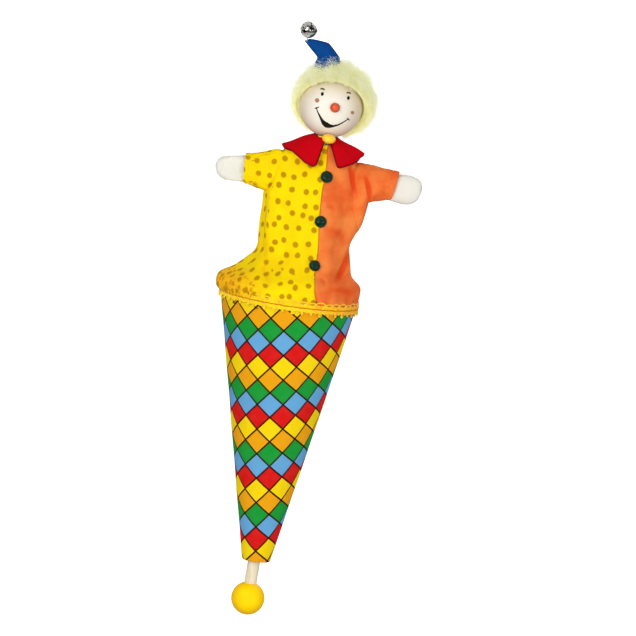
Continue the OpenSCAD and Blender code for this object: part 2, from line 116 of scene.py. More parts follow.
# %% Mesh makers
def grid(m, n, closed=False, looped=False):
    """Quads of m rows and n columns, and for each corner its place in the table of flat coordinates. closed
    joins the last column to the first, and looped the last row to the first."""
    rows, columns = np.arange(m if looped else m - 1), np.arange(n if closed else n - 1)
    j, i = (x.ravel() for x in np.meshgrid(rows, columns, indexing="ij"))
    wide = n + 1 if closed else n
    order = ((0, 0), (0, 1), (1, 1), (1, 0))
    faces = np.stack([(j + a) % m * n + (i + b) % n for a, b in order], 1)
    where = np.stack([(j + a) * wide + i + b for a, b in order], 1)
    return faces, where


def capped(m, n):
    """Faces of a tube of m rings with both ends filled, and their places in the flat table."""
    quads, where = grid(m, n, True)
    ends, spots = ([np.arange(n)[None, ::-1], (m - 1) * wide + np.arange(n)[None]] for wide in (n, n + 1))
    return [quads, *ends], [where, *spots]


def turned_out(points, faces, middle):
    """True if the faces' normals, weighted by area, point away from a middle."""
    a, b, c = (points[faces[:, k]] for k in range(3))
    return np.sum(np.cross(b - a, c - a) * (a - middle)) > 0


def blocks(faces):
    """Faces as a list of index arrays, one array for each number of corners."""
    return [np.asarray(f) for f in (faces if isinstance(faces, list) else [faces])]


def piece(name, points, faces, look, flat=None, where=None, values=None):
    """A mesh from points in mm. flat holds cloth coordinates, where says which one each corner takes."""
    points = np.asarray(points, float).reshape(-1, 3)
    faces = blocks(faces)
    where = faces if where is None else blocks(where)
    if not turned_out(points, faces[0], points.mean(0)):
        faces, where = [f[:, ::-1] for f in faces], [w[:, ::-1] for w in where]
    sizes = np.concatenate([np.full(len(f), f.shape[1]) for f in faces])
    corners = np.concatenate([f.ravel() for f in faces])
    mesh = bpy.data.meshes.new(name)
    mesh.vertices.add(len(points))
    mesh.vertices.foreach_set("co", (points * MM).astype(np.float32).ravel())
    mesh.loops.add(len(corners))
    mesh.loops.foreach_set("vertex_index", corners.astype(np.int32))
    mesh.polygons.add(len(sizes))
    starts = np.concatenate([[0], np.cumsum(sizes)[:-1]])
    mesh.polygons.foreach_set("loop_start", starts.astype(np.int32))
    mesh.update(calc_edges=True)
    if flat is not None:
        corner_flat = np.asarray(flat, float).reshape(-1, 2)[np.concatenate([w.ravel() for w in where])]
        layer = mesh.uv_layers.new(name="flat")
        layer.uv.foreach_set("vector", corner_flat.astype(np.float32).ravel())
    for key, value in (values or {}).items():
        attribute = mesh.attributes.new(key, "FLOAT", "POINT")
        attribute.data.foreach_set("value", np.asarray(value, float).ravel().astype(np.float32))
    mesh.polygons.foreach_set("use_smooth", np.full(len(sizes), True))
    mesh.materials.append(look)
    made = bpy.data.objects.new(name, mesh)
    bpy.context.scene.collection.objects.link(made)
    return made


print("a 3 by 4 closed grid has", len(grid(3, 4, True)[0]), "quads")

# %% [markdown]
# Yarn, thread and hair are tubes: rings carried along a path. Turned parts are a profile carried round an
# axis. Outlines are read from short tables of points.


# %% Tubes, turned forms and lines
def unit(v):
    """v / |v|, for each vector."""
    return v / np.maximum(np.linalg.norm(v, axis=-1, keepdims=True), 1e-12)


def tube(path, radius, sides=8, up=(0, 0, 1), closed=False):
    """Rings of radius r(s) round a path: p + r (a cos t + b sin t), with a, b across the tangent."""
    tangent = unit(np.roll(path, -1, 0) - np.roll(path, 1, 0) if closed else np.gradient(path, axis=0))
    a = unit(np.cross(tangent, np.broadcast_to(up, path.shape)))
    b = np.cross(tangent, a)
    t = circle(sides)
    r = np.broadcast_to(radius, len(path))[:, None, None]
    rings = path[:, None] + r * (a[:, None] * np.cos(t)[:, None] + b[:, None] * np.sin(t)[:, None])
    faces = [grid(len(path), sides, True, True)[0]] if closed else capped(len(path), sides)[0]
    return rings.reshape(-1, 3), faces


def gather(parts):
    """Several (points, faces) as one, with the later faces' numbers moved on."""
    points, faces, start = [], [], 0
    for p, f in parts:
        points.append(p)
        faces += [x + start for x in f]
        start += len(p)
    return np.concatenate(points), faces


def revolve(profile, steps):
    """A profile of (radius, height) turned about Z. Its first and last points may be on the axis."""
    profile = np.asarray(profile, float)
    t = circle(steps)
    r, z = np.maximum(profile[:, :1], 1e-3), profile[:, 1:]
    points = stack(r * np.cos(t), r * np.sin(t), z + 0 * t)
    return points, capped(len(profile), steps)[0]


def read(table, at, x):
    """Every column of a table whose rows stand at the places at, read between them at x."""
    return np.stack([np.interp(x, at, column) for column in table.T], -1)


def walked(line):
    """How far along a line of points each one is."""
    return np.concatenate([[0], np.cumsum(np.linalg.norm(np.diff(line, axis=0), axis=-1))])


def eased(rows):
    """Rows averaged 1 to 2 to 1 with their neighbours. The first and last stay."""
    return np.concatenate([rows[:1], (rows[:-2] + 2 * rows[1:-1] + rows[2:]) / 4, rows[-1:]])


def thicken(made, name, thick, offset=-1):
    """Gives a sheet its thickness in mm, to the inside, or to both sides with an offset of 0."""
    solid = made.modifiers.new(name, "SOLIDIFY")
    solid.thickness, solid.offset = thick * MM, offset


def area_of(made):
    """The area of a piece's faces in square metres."""
    return float(sum(face.area for face in made.data.polygons))


print("a tube of 6 rings and 8 sides has", len(capped(6, 8)[0][0]), "quads")

# %% [markdown]
# Materials are node trees. One small call adds a node, sets its properties and feeds its inputs in order,
# each with a number, a colour or a wire, which is another node's output. Arithmetic on wires adds math nodes,
# so that a formula reads as one.


# %% Wires and nodes
class Wire:
    """A node's output. Arithmetic on it adds a math node, or a vector math node where a vector goes in."""

    def __init__(self, tree, socket):
        self.tree, self.socket = tree, socket

    def math(self, operation, *others):
        vector = self.socket.type == "VECTOR" or any(isinstance(x, tuple) for x in others)
        return put(self.tree, "VectorMath" if vector else "Math", self, *others, operation=operation)

    def __add__(self, other):
        return self.math("ADD", other)

    def __sub__(self, other):
        return self.math("SUBTRACT", other)

    def __rsub__(self, number):
        return put(self.tree, "Math", number, self, operation="SUBTRACT")

    def __mul__(self, other):
        return self.math("MULTIPLY", other)

    def __truediv__(self, other):
        return self.math("DIVIDE", other)

    def __abs__(self):
        return self.math("ABSOLUTE")


def feed(socket, value):
    """Joins a wire to an input, or sets the input to a plain value. None leaves it alone."""
    if isinstance(value, Wire):
        value.tree.links.new(value.socket, socket)
    elif value is not None:
        socket.default_value = value


def put(tree, kind, *feeds, out=0, **settings):
    """Adds a node, feeds its inputs in order and gives the wire of the output numbered out."""
    node = tree.nodes.new("ShaderNode" + kind)
    for key, value in settings.items():
        setattr(node, key, value)
    for socket, value in zip(node.inputs, feeds):
        feed(socket, value)
    return Wire(tree, node.outputs[out])


def use(shared, place, *feeds, out=0):
    """Puts a node group into the tree of place, which is its first input."""
    return put(place.tree, "Group", place, *feeds, out=out, node_tree=shared)


def blend_colour(share, a, b, how="MIX"):
    """a and b mixed by share, as colours."""
    unused = [None] * 5
    return put(share.tree, "Mix", share, *unused, a, b, out=2, data_type="RGBA", blend_type=how)


def ramp(value, low, high, start=0.0, end=1.0):
    """A smooth step of value from low to high."""
    return put(value.tree, "MapRange", value, low, high, start, end, interpolation_type="SMOOTHSTEP")


def noise(place, scale, detail, rough=0.5, out=0):
    """Perlin noise: its value, or with out=1 its three values as a colour."""
    return put(place.tree, "TexNoise", place, None, scale, detail, rough, out=out)


def xyz(x, y, z=0.0):
    """Three wires or numbers as one vector, the first of them a wire."""
    return put(x.tree, "CombineXYZ", x, y, z)


def split(vector):
    """The wires of a vector's x, y and z."""
    node = put(vector.tree, "SeparateXYZ", vector).socket.node
    return [Wire(vector.tree, socket) for socket in node.outputs]


def stored(tree, name):
    """A value that the mesh stores at its points."""
    return put(tree, "Attribute", attribute_name=name, out=2)


def slant(tree):
    """0 where a surface faces the eye, 1 where it is seen edge on."""
    return put(tree, "LayerWeight", 0.5, out=1)


def flat_mm(tree):
    """The piece's own cloth coordinates, in mm."""
    return put(tree, "UVMap", uv_map="flat")


def place_mm(tree):
    """The place on the object, in mm."""
    return put(tree, "TexCoord", out=3) * (1000, 1000, 1000)


def srgb(r, g, b):
    """A colour as the eye names it, 0 to 255, in linear light: ((c + 0.055) / 1.055) ** 2.4."""
    c = np.array([r, g, b]) / 255
    c = np.where(c <= 0.04045, c / 12.92, ((c + 0.055) / 1.055) ** 2.4)
    return (*c, 1.0)


print("linear value of sRGB 188:", round(srgb(188, 188, 188)[0], 3))

# %% [markdown]
# Effects that several materials share are node groups that put out values only. A material is one call, which
# takes a function of the tree for whatever varies over the surface.


# %% Groups and materials
def group(title, make, **numbers):
    """A node group of a place and some numbers. make gives {name: wire} for what it puts out."""
    tree = bpy.data.node_groups.new(title, "ShaderNodeTree")
    tree.interface.new_socket("Place", in_out="INPUT", socket_type="NodeSocketVector")
    for name, default in numbers.items():
        socket = tree.interface.new_socket(name, in_out="INPUT", socket_type="NodeSocketFloat")
        socket.default_value = default
    start = tree.nodes.new("NodeGroupInput")
    results = make(*[Wire(tree, start.outputs[name]) for name in ("Place", *numbers)])
    kinds = {"VALUE": "NodeSocketFloat", "RGBA": "NodeSocketColor"}
    for name, wire in results.items():
        tree.interface.new_socket(name, in_out="OUTPUT", socket_type=kinds[wire.socket.type])
    end = tree.nodes.new("NodeGroupOutput")
    for name, wire in results.items():
        feed(end.inputs[name], wire)
    return tree


def material(name, colour, roughness=0.8, height=None, depth=0.1, shine=0.06, **sockets):
    """A principled material. colour, roughness and height are functions of the tree, or plain values.
    depth is the bump's size in mm. shine is the specular level: cloth has little, paint about a half. Other
    sockets are set on the shader itself."""
    made = bpy.data.materials.new(name)
    made.use_nodes = True
    tree = made.node_tree
    inputs = tree.nodes["Principled BSDF"].inputs
    sockets |= {"Base_Color": colour, "Roughness": roughness, "Specular_IOR_Level": shine}
    for key, value in sockets.items():
        feed(inputs[key.replace("_", " ")], value(tree) if callable(value) else value)
    if height:
        bump = put(tree, "Bump", 1.0, depth * MM)
        feed(bump.socket.node.inputs["Height"], height(tree))
        feed(inputs["Normal"], bump)
    return made


print("materials before the puppet's own:", len(bpy.data.materials))

# %% [markdown]
# The shared effects: a plain weave whose threads pass over and under each other, felt's matted fibres, wood's
# drawn-out grain, and a slow mottle for paint and dye.


# %% Shared effects
def make_weave(place, pitch):
    """Threads |sin(pi u)| and |sin(pi v)| over each other in turn, as floor(u) + floor(v) is odd or even."""
    cell = place / xyz(pitch, pitch, pitch)
    u, v, _ = split(cell)
    thread_u, thread_v = (abs((x * math.pi).math("SINE")) for x in (u, v))
    over = (u.math("FLOOR") + v.math("FLOOR")).math("PINGPONG", 1.0)
    slub = noise(cell * (0.12, 1.3, 1), 1.0, 2.0)
    return {"Height": thread_u * over + thread_v * (1.0 - over) + slub * 0.5, "Slub": slub}


def make_felt(place):
    """Felt: hairs over a slow swell, less the curls of its fibres. The hairs give its flecks too."""
    hairs = noise(place, 3.2, 8.0, 0.75)
    curls = put(place.tree, "TexVoronoi", place, None, 2.2, feature="F1")
    return {"Height": noise(place, 0.9, 6.0, 0.7) * 0.6 + hairs * 0.8 - curls * 0.2, "Fleck": hairs}


def make_grain(place):
    """Wood: rings drawn out along z and bent by a slow noise, and fine pores."""
    bent = noise(place, 0.05, 2.0)
    rings = noise(place * (1.0, 1.0, 0.035) + xyz(bent, bent), 0.9, 3.0, 0.6)
    pores = noise(place * (5, 5, 0.35), 1.0, 3.0, 0.6)
    return {"Ring": ramp(rings, 0.35, 0.68), "Pore": ramp(pores, 0.56, 0.72)}


def make_mottle(place, size):
    """A slow unevenness, size mm wide."""
    return {"Value": noise(place / xyz(size, size, size), 1.0, 4.0, 0.55)}


WEAVE = group("weave", make_weave, Pitch=0.42)
FELT = group("felt", make_felt)
GRAIN = group("wood grain", make_grain)
MOTTLE = group("mottle", make_mottle, Size=10.0)


def shared_by(where, effect, *feeds, span=(), out=0):
    """A function of the tree: an effect laid on flat_mm or place_mm, stepped over a span if one is given."""
    def value(tree):
        tone = use(effect, where(tree), *feeds, out=out)
        return ramp(tone, *span) if span else tone
    return value


def mottle(size, *span):
    """Unevenness of a size in mm, stepped over a span if one is given."""
    return shared_by(place_mm, MOTTLE, size, span=span)


def two_tone(share, dark, light):
    """A colour between two, by a function of the tree."""
    return lambda tree: blend_colour(share(tree), dark, light)


def flecked(where, dark, light):
    """Felt's colour, lighter along its raised hairs."""
    return two_tone(shared_by(where, FELT, span=(0.3, 0.75), out=1), dark, light)


print("shared effects:", [g.name for g in bpy.data.node_groups])

# %% [markdown]
# ## The cone's cover
# The print is flat and is wrapped on the cone, so its flat coordinates come from unrolling the cone: at
# azimuth phi and slant distance s from the apex, the cloth lies at the polar angle phi sin(alpha), where
# alpha is the cone's half angle. The diamonds are cells of two diagonal families of lines.

# %% Harlequin print
PRINT_W, PRINT_H = 20.8, 20.5
PRINT_U, PRINT_V = 30.0, 240.2
PRINT_TURN = math.radians(-35.7)
ROW_SLOPE, COLUMN_SLOPE = 0.026, 0.013
PRINT = {
    "blue": srgb(104, 172, 222),
    "green": srgb(22, 158, 56),
    "orange": srgb(244, 168, 12),
    "yellow": srgb(255, 220, 6),
    "red": srgb(222, 22, 20),
}


def unrolled(phi, z):
    """The cone laid flat: s = (z + apex) / cos(alpha), theta = (phi - phi0) sin(alpha)."""
    alpha = math.atan(SLOPE)
    s = (z + TIP_R / SLOPE) / math.cos(alpha)
    theta = (phi - PRINT_TURN) * math.sin(alpha)
    return stack(s * np.sin(theta), s * np.cos(theta))


def make_harlequin(place):
    """Cells of the lines a + b and a - b, coloured by row, and how far a point is from the nearest line."""
    u, v, _ = split(place)
    u, v = u - PRINT_U, v - PRINT_V
    a, b = (u - v * COLUMN_SLOPE) / PRINT_W, (v - u * ROW_SLOPE) / PRINT_H
    lines = a + b, a - b
    whole = [(x + 0.5).math("FLOOR") for x in lines]
    off = [abs(x - w) for x, w in zip(lines, whole)]
    edge = (0.5 - off[0].math("MAXIMUM", off[1])) / math.hypot(1 / PRINT_W, 1 / PRINT_H)
    turn = (whole[0] - whole[1]).math("FLOORED_MODULO", 5.0)
    colour, *others = PRINT.values()
    for number, tone in enumerate(others):
        colour = blend_colour(turn.math("GREATER_THAN", number + 0.5), colour, tone)
    return {"Colour": colour, "Edge": edge}


HARLEQUIN = group("harlequin print", make_harlequin)


def print_colour(tree):
    """The print with lines that wobble as ink does, a little uneven, and toned by the threads."""
    flat = flat_mm(tree)
    edge = use(HARLEQUIN, flat, out=1) + (noise(flat, 0.35, 2.0) - 0.5) * 0.25
    paler = ramp(use(MOTTLE, flat, 7.0), 0.3, 0.75, 0.0, 0.012)
    dyed = blend_colour(paler, use(HARLEQUIN, flat), srgb(255, 246, 214))
    threads = ramp(use(WEAVE, flat, 0.42, out=1), 0.35, 0.75, 0.0, 0.09)
    dyed = blend_colour(threads, dyed, srgb(120, 74, 20), "MULTIPLY")
    return blend_colour(ramp(edge, 0.54, 0.8, 1.0, 0.0), dyed, srgb(50, 18, 4))


PRINTED = material("printed_cotton_look", print_colour, 0.82, shared_by(flat_mm, WEAVE, 0.42), 0.09)
print("print cell", PRINT_W, "by", PRINT_H, "mm, colours", list(PRINT))

# %% [markdown]
# The cloth goes once round and laps 7 mm over itself down the back. Its lower edge is turned in round the
# card, and it lies with a very slight wander, as glued cotton does.


# %% Cover
LAP = 7.0
COVER_TOP = 209.95
HEM_R = 1.6


def cover():
    """Columns round the cone and rows up it. The first ten rows turn the hem in round the card's edge."""
    columns, rows = 260, 130
    turn = np.radians(np.linspace(-90, -11.5, 8))
    up = np.linspace(2.4, COVER_TOP, rows)
    z = np.concatenate([[0.9, 0.25], HEM_R + HEM_R * np.sin(turn), up])[:, None]
    r = np.concatenate([[8.4, 8.5], 9.893 + HEM_R * np.cos(turn), TIP_R + SLOPE * up])[:, None]
    phi = -np.pi + np.linspace(0, 1, columns) * (2 * np.pi + LAP / np.maximum(r, 9.0))
    over = clamp((phi - np.pi + 0.05) / 0.05)
    wander = 0.10 * np.sin(3 * phi + z / 21) * np.sin(z / 13 + 1) + 0.06 * np.sin(7 * phi - z / 8)
    ends = clamp(z / 6) * clamp((CONE_LEN - z) / 6)
    reach = r + 0.5 * over * over * (3 - 2 * over) + wander * ends
    points = stack(reach * np.sin(phi), -reach * np.cos(phi), z + 0 * phi)
    faces, where = grid(*phi.shape)
    made = piece("cover", points, faces, PRINTED, unrolled(phi, z), where)
    thicken(made, "cloth", 0.45)
    return made


cover_piece = cover()
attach(cover_piece, "cone")
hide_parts("cone_cover")
print("cover:", len(cover_piece.data.polygons), "quads")

# %% [markdown]
# ## The rim braid
# Crochet is yarn bent into loops. A prolate cycloid, which runs on along the rim while it circles, draws
# exactly that: x = a t - b sin t, z = -c cos t, with b larger than a. One such yarn makes each picot edge,
# two finer ones make the body, and a stitched line holds the band to the cloth.


# %% Braid
BRAID_Z = CONE_LEN + 2.7
BRAID_TILT = -0.025
SCALLOPS = 46
BAND_R = 54.95
BACK_R = 54.62
SEWN_R = 55.1
SEWN_COUNT = 92
TACK_R = 55.7
TACKS_AT = (-50.1, -27.1)


def round_rim(u, r, z):
    """Points at azimuth u (radians), radius r and height z over a braid that sits a little askew."""
    return stack(r * np.sin(u), -r * np.cos(u), z + BRAID_TILT * r * np.sin(u))


def loops(count, steps, middle, tall, wide, reach, thick, phase=0.0):
    """A looped yarn round the rim. wide over 1 makes the loops cross themselves."""
    t = np.linspace(0, 2 * np.pi * count, count * steps, endpoint=False)
    uneven = 1 + 0.2 * np.sin(0.37 * t) + 0.16 * np.sin(0.61 * t + 1)
    u = (t - wide * uneven * np.sin(t + phase)) / count
    z = BRAID_Z + middle - tall * uneven * np.cos(t + phase)
    path = round_rim(u, reach + 0.25 * np.sin(t + phase + 1.2), z)
    return tube(path, thick * (1 + 0.15 * np.sin(2 * t)), 6, round_rim(u, 1.0, 0 * u), closed=True)


def yarn_colour(tree):
    """Yellow on the viewer's left and orange on the right, with darker patches and strands."""
    place = place_mm(tree)
    tone = blend_colour(ramp(split(place)[0], -5.0, 60.0), srgb(255, 222, 16), srgb(252, 188, 30))
    tone = blend_colour(ramp(use(MOTTLE, place, 6.0), 0.45, 0.66, 0.0, 0.45), tone, srgb(248, 170, 24))
    return blend_colour(ramp(noise(place, 1.6, 4.0, 0.65), 0.52, 0.75, 0.0, 0.4), tone, srgb(232, 138, 12))


def yarn_height(tree):
    """The fuzz of yarn and thread."""
    return noise(place_mm(tree), 3.0, 6.0, 0.7)


def thread(name, size, dark, light, depth=0.08):
    """Sewing thread, which changes tone slowly along its way."""
    return material(name, two_tone(mottle(size), dark, light), 0.6, yarn_height, depth)


YARN = material("crochet_yarn", yarn_colour, 0.75, yarn_height, 0.22, Sheen_Weight=0.25)
STITCH = thread("amber_thread", 2.0, srgb(188, 116, 4), srgb(214, 146, 10))
BROWN = thread("brown_thread", 1.0, srgb(52, 18, 6), srgb(84, 36, 14))


def braid_band():
    """The close-worked middle of the braid: a band whose face rises in two rows of stitches."""
    u = circle(SCALLOPS * 16)
    side = np.linspace(-1, 1, 19)[:, None]
    z = BRAID_Z + side * (3.2 + 0.4 * np.cos(SCALLOPS * u))
    row = np.abs(np.sin(np.pi * 2.0 * side))
    stitch = np.abs(np.sin(1.5 * SCALLOPS * u + 1.2 * np.sign(side) * side * np.pi))
    reach = BAND_R + 0.35 * np.sqrt(np.maximum(1 - side**2, 0)) + 0.28 * row * (0.4 + 0.6 * stitch)
    points = round_rim(u, reach, z)
    back = round_rim(u, BACK_R + 0 * reach[::-1], z[::-1])
    points = np.concatenate([points, back])
    return points.reshape(-1, 3), [grid(*points.shape[:2], True, True)[0]]


def stitched_line():
    """Running stitches along the braid's middle, each dipping in at both ends."""
    parts = []
    for k in range(SEWN_COUNT):
        u = (k + np.linspace(0.02, 0.98, 9)) * 2 * np.pi / SEWN_COUNT
        dip = np.sin(np.linspace(0, np.pi, 9)) ** 0.5
        path = round_rim(u, SEWN_R + 0.42 * dip, BRAID_Z + 0.12 * np.sin(k * 2.4) + 0 * u)
        parts.append(tube(path, 0.55, 6, round_rim(u, 1.0, 0 * u)))
    return gather(parts)


def knots():
    """Two cross-stitches in brown thread that tack the braid's lower edge."""
    parts = []
    for azimuth in TACKS_AT:
        for way in (-1, 1):
            t = np.linspace(-1, 1, 9)
            u = np.radians(azimuth) + t * 1.1 / 55
            path = round_rim(u, TACK_R + 0.35 * np.cos(t * np.pi / 2), BRAID_Z - 5.4 + way * t)
            parts.append(tube(path, 0.42, 6, round_rim(u, 1.0, 0 * u)))
    return gather(parts)


def braid():
    """The band with its looped yarns, and the two threads sewn through it."""
    yarns = [
        braid_band(),
        loops(SCALLOPS, 26, 3.5, 1.4, 1.75, 55.3, 0.6),
        loops(SCALLOPS, 26, -3.6, 1.4, 1.75, 55.2, 0.6, np.pi),
        loops(2 * SCALLOPS, 18, 1.9, 0.95, 1.5, 55.6, 0.42, 0.4),
        loops(2 * SCALLOPS, 18, -1.9, 1.0, 1.5, 55.6, 0.42, 1.7),
    ]
    band = piece("braid", *gather(yarns), YARN)
    stitches = piece("braid_thread", *stitched_line(), STITCH)
    tacks = piece("braid_tacks", *knots(), BROWN)
    for made in (band, stitches, tacks):
        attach(made, "cone")
    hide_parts("rim_braid")
    return band


print("braid:", len(braid().data.polygons), "faces")

# %% [markdown]
# ## The costume's body
# The bodice is one surface. At height h above the rim its level section is an oval between two side outlines,
# and phi turns round it from the front. The seam down the front has its own line across. Folds are ripples
# that fade out at the rim and the neck, and single creases are added over them.


# %% Bodice surface
def outline(table, h):
    """A smooth line through a table of (h, value): straight steps, averaged over a few millimetres."""
    table = np.array(table, float)
    fine = np.linspace(-8, 136, 721)
    v = np.interp(fine, table[:, 0], table[:, 1])
    v = np.convolve(np.pad(v, 12, "edge"), np.ones(25) / 25, "valid")
    return np.interp(h, fine, v)


LEFT = [(0, -54.2), (2.4, -54.4), (4.2, -56.6), (6.5, -58.3), (14, -58.5), (18.5, -55.8), (22.4, -46.4),
        (29, -38.6), (36.7, -30.6), (42.5, -29.0), (50, -29.6), (60.5, -30.0), (74, -29.8), (84.3, -30.5),
        (93, -27.4), (105, -25.1), (115, -22.5), (121.5, -15.2), (128, 3.2)]
RIGHT = [(0, 54.0), (7.5, 54.5), (10, 55.3), (14, 55.7), (18.8, 55.4), (22, 52.6), (25, 47.8), (28.5, 45.6),
         (41.3, 43.4), (49, 41.8), (54, 42.6), (60, 45.6), (66, 47.4), (74, 47.4), (83, 45.0), (95, 42.8),
         (115, 42.2), (121.5, 38.0), (128, 21.9)]
DEPTH = [(0, 54.0), (4, 54.2), (7.5, 54.5), (10, 55.2), (13, 55.0), (20, 50.0), (26, 42.0), (35, 34.6),
         (49, 29.7), (70, 26.5), (90, 21.6), (105, 15.7), (115, 11.5), (121.6, 9.6), (128, 9.0)]
SEAM = [(0, 24.2), (8, 22.0), (14.8, 19.7), (28, 18.2), (44.5, 18.2), (65, 16.6), (80, 15.8), (90, 15.6),
        (97, 15.9), (105, 16.8), (112, 16.8), (128, 15.7)]


def seam_turn(h):
    """Azimuth of the front seam in radians, from its place across: arcsin((x - mid) / a)."""
    left, right = outline(LEFT, h), outline(RIGHT, h)
    return np.arcsin((outline(SEAM, h) - (left + right) / 2) / ((right - left) / 2))


def ripple(h, phi):
    """Folds in mm: leaning waves of 9 and 5 round the body, fading at both ends."""
    t = h / BODICE_H
    fade = np.sin(np.pi * clamp((h - 3.5) / (BODICE_H - 3.5)) ** 0.7)
    big = 0.7 * np.cos(9 * phi + 3.49 * t) + 0.45 * np.cos(5 * phi - 4.54 * t + 1.05)
    fine = 0.28 * np.cos(17 * phi + 9 * t) * np.cos(6 * phi - 14 * t + 0.6)
    gathers = np.cos(34 * phi + 1.2 * np.sin(3 * phi))
    hem = 0.5 * np.exp(-((h - 6) / 7) ** 2) * gathers * clamp((h - 3) / 3)
    return 1.8 * fade * big + fade * fine + hem


def crease(x, z, front, x0, z0, x1, z1, wide, deep):
    """A furrow from (x0, z0) to (x1, z1) on the front, with a softer ridge beside it, in mm of depth."""
    length = math.hypot(x1 - x0, z1 - z0)
    ux, uz = (x1 - x0) / length, (z1 - z0) / length
    along = ((x - x0) * ux + (z - z0) * uz) / length
    off = (x - x0) * uz - (z - z0) * ux + wide * 0.5 * np.sin(3.2 * along)
    taper = clamp(np.sin(np.pi * clamp(along))) ** 0.6
    shape = -np.exp(-((off / wide) ** 2)) + 0.65 * np.exp(-(((off - 1.9 * wide) / (1.3 * wide)) ** 2))
    return deep * taper * front * shape


CREASES = [
    (33.0, 326, 40.0, 301, 2.7, 2.1), (46.5, 319, 53.5, 297, 2.5, 2.3), (40.5, 311, 43, 296, 3.0, 0.7),
    (18.6, 291, 28, 287.5, 3.0, 1.0), (19.5, 274, 39, 266, 4.5, 1.1), (42.5, 260, 33.5, 232, 3.4, 2.2),
    (28, 227, 53, 224, 3.5, 1.2), (20, 236, 27, 229, 2.4, 0.9), (-30, 244, -14, 222, 3.0, 0.9),
    (-47, 229, -20, 224, 2.6, 0.8), (-54, 219, -26, 214.5, 2.2, 0.8), (-27, 262, -22, 236, 2.4, 0.7),
    (-26, 292, -8, 283, 3.4, 0.6),
]


def bodice(h, phi):
    """Points of the bodice, and how deep in a crease each is. x = mid + a f sin(phi), y = -b f cos(phi)."""
    left, right, b = outline(LEFT, h), outline(RIGHT, h), outline(DEPTH, h)
    a, mid = (right - left) / 2, (right + left) / 2
    f = 1 + ripple(h, phi) / a
    x = mid + a * f * np.sin(phi)
    z = CONE_LEN + h - math.tan(LEAN) * a * f * np.sin(phi) * h / BODICE_H
    front = clamp(np.cos(phi) * 2.2)
    d = sum(crease(x, z, front, *c) for c in CREASES) * clamp((h - 4) / 5)
    return stack(x, -b * f * np.cos(phi) - d, z), np.clip(-d, 0, 2)


def seen_from(points, closed=False):
    """How far each axis is from the one a cloth faces most, off = 12 (max |n| - |n|) mm, and the depth y."""
    wrapped = np.pad(points, ((0, 0), (1, 1), (0, 0)), "wrap" if closed else "edge")
    n = np.abs(unit(np.cross(np.gradient(points, axis=0), wrapped[:, 2:] - wrapped[:, :-2])))
    off = 12 * (n.max(-1, keepdims=True) - n)
    return {"deep": points[..., 1], "off_x": off[..., 0], "off_y": off[..., 1], "off_z": off[..., 2]}


# %% [markdown]
# The yellow cotton has printed dots. A jittered lattice of points gives their places: each point of the cloth
# asks how far its nearest dot is. The lattice is laid on from the front, the side and above, and each place
# takes the one it faces, so no dot is drawn out. Creases get painted shade: the colour turns deeper with how
# deep the cloth lies in a crease.


# %% Costume cloth
DOT_U, DOT_V = 9.7, 10.3


def make_dots(place):
    """The distance to the nearest dot of a lattice that wanders a little, in tenths of a cell."""
    wander = noise(place, 0.12, 1.0, out=1) * (1.5, 1.5, 0)
    cell = (place + wander) * (1 / DOT_U, 1 / DOT_V, 0)
    skipped = [None] * 5
    away = put(place.tree, "TexVoronoi", cell, None, 1.0, *skipped, 0.52,
               feature="F1", voronoi_dimensions="2D")
    return {"Away": away * 10.0}


DOTS = group("printed dots", make_dots)


def nearest_dot(tree, stretch):
    """Distance in mm to the nearest dot of three lattices, each held back where the cloth turns away."""
    flat, deep = flat_mm(tree), stored(tree, "deep")
    u, v, _ = split(flat)
    places = {"off_y": flat, "off_x": xyz(deep + 57.0, v), "off_z": xyz(u + 31.0, deep + 83.0)}
    spots = [use(DOTS, place * stretch) + stored(tree, off) for off, place in places.items()]
    return spots[0].math("MINIMUM", spots[1]).math("MINIMUM", spots[2])


def cotton(name, base, deep, uneven, dots=None):
    """Cotton with painted shade in creases and at its outline. With dots it is printed and its roll shaded
    amber.
    """
    def colour(tree):
        flat = flat_mm(tree)
        tone = blend_colour(ramp(use(MOTTLE, flat, 26.0), 0.36, 0.66, 0.0, uneven), base, deep)
        if dots:
            # Painted shade: the rolled cloth low on the left turns amber, and the dots there show as dashes.
            amber = stored(tree, "amber")
            tone = blend_colour(amber * 0.8, tone, srgb(255, 180, 26))
            dashes = ramp(nearest_dot(tree, (1.9, 1.35, 0)), 1.8, 3.2, 0.6, 0.0)
            tone = blend_colour(dashes * ramp(amber, 0.2, 0.6), tone, srgb(186, 104, 10))
        # Painted shade: the colour deepens with how deep the cloth lies in a crease.
        tone = blend_colour(ramp(stored(tree, "crease"), 0.0, 1.6, 0.0, 0.9), tone, deep)
        slub = ramp(use(WEAVE, flat, 0.36, out=1), 0.35, 0.75, 0.0, 0.10)
        tone = blend_colour(slub, tone, deep, "MULTIPLY")
        if dots:
            tone = blend_colour(ramp(nearest_dot(tree, (1, 1, 0)), 1.6, 2.8, 0.9, 0.0), tone, dots)
        # Painted shade at the outline: brown where the cloth is seen edge on.
        return blend_colour(ramp(slant(tree), 0.72, 1.0, 0.0, 0.6), tone, srgb(150, 84, 22))

    return material(name, colour, 0.85, shared_by(flat_mm, WEAVE, 0.36), 0.08)


YELLOW = cotton("yellow_cotton", srgb(255, 226, 4), srgb(250, 186, 12), 0.25, srgb(188, 132, 8))
ORANGE = cotton("orange_cotton", srgb(249, 141, 68), srgb(228, 72, 24), 0.65)
RIM_POINT = tuple(on_stick([0, 0, CONE_LEN / math.cos(LEAN)]) * MM)
NECK_POINT = tuple(on_stick([0, 0, NECK_Z]) * MM)
print("dots every", DOT_U, "by", DOT_V, "mm")
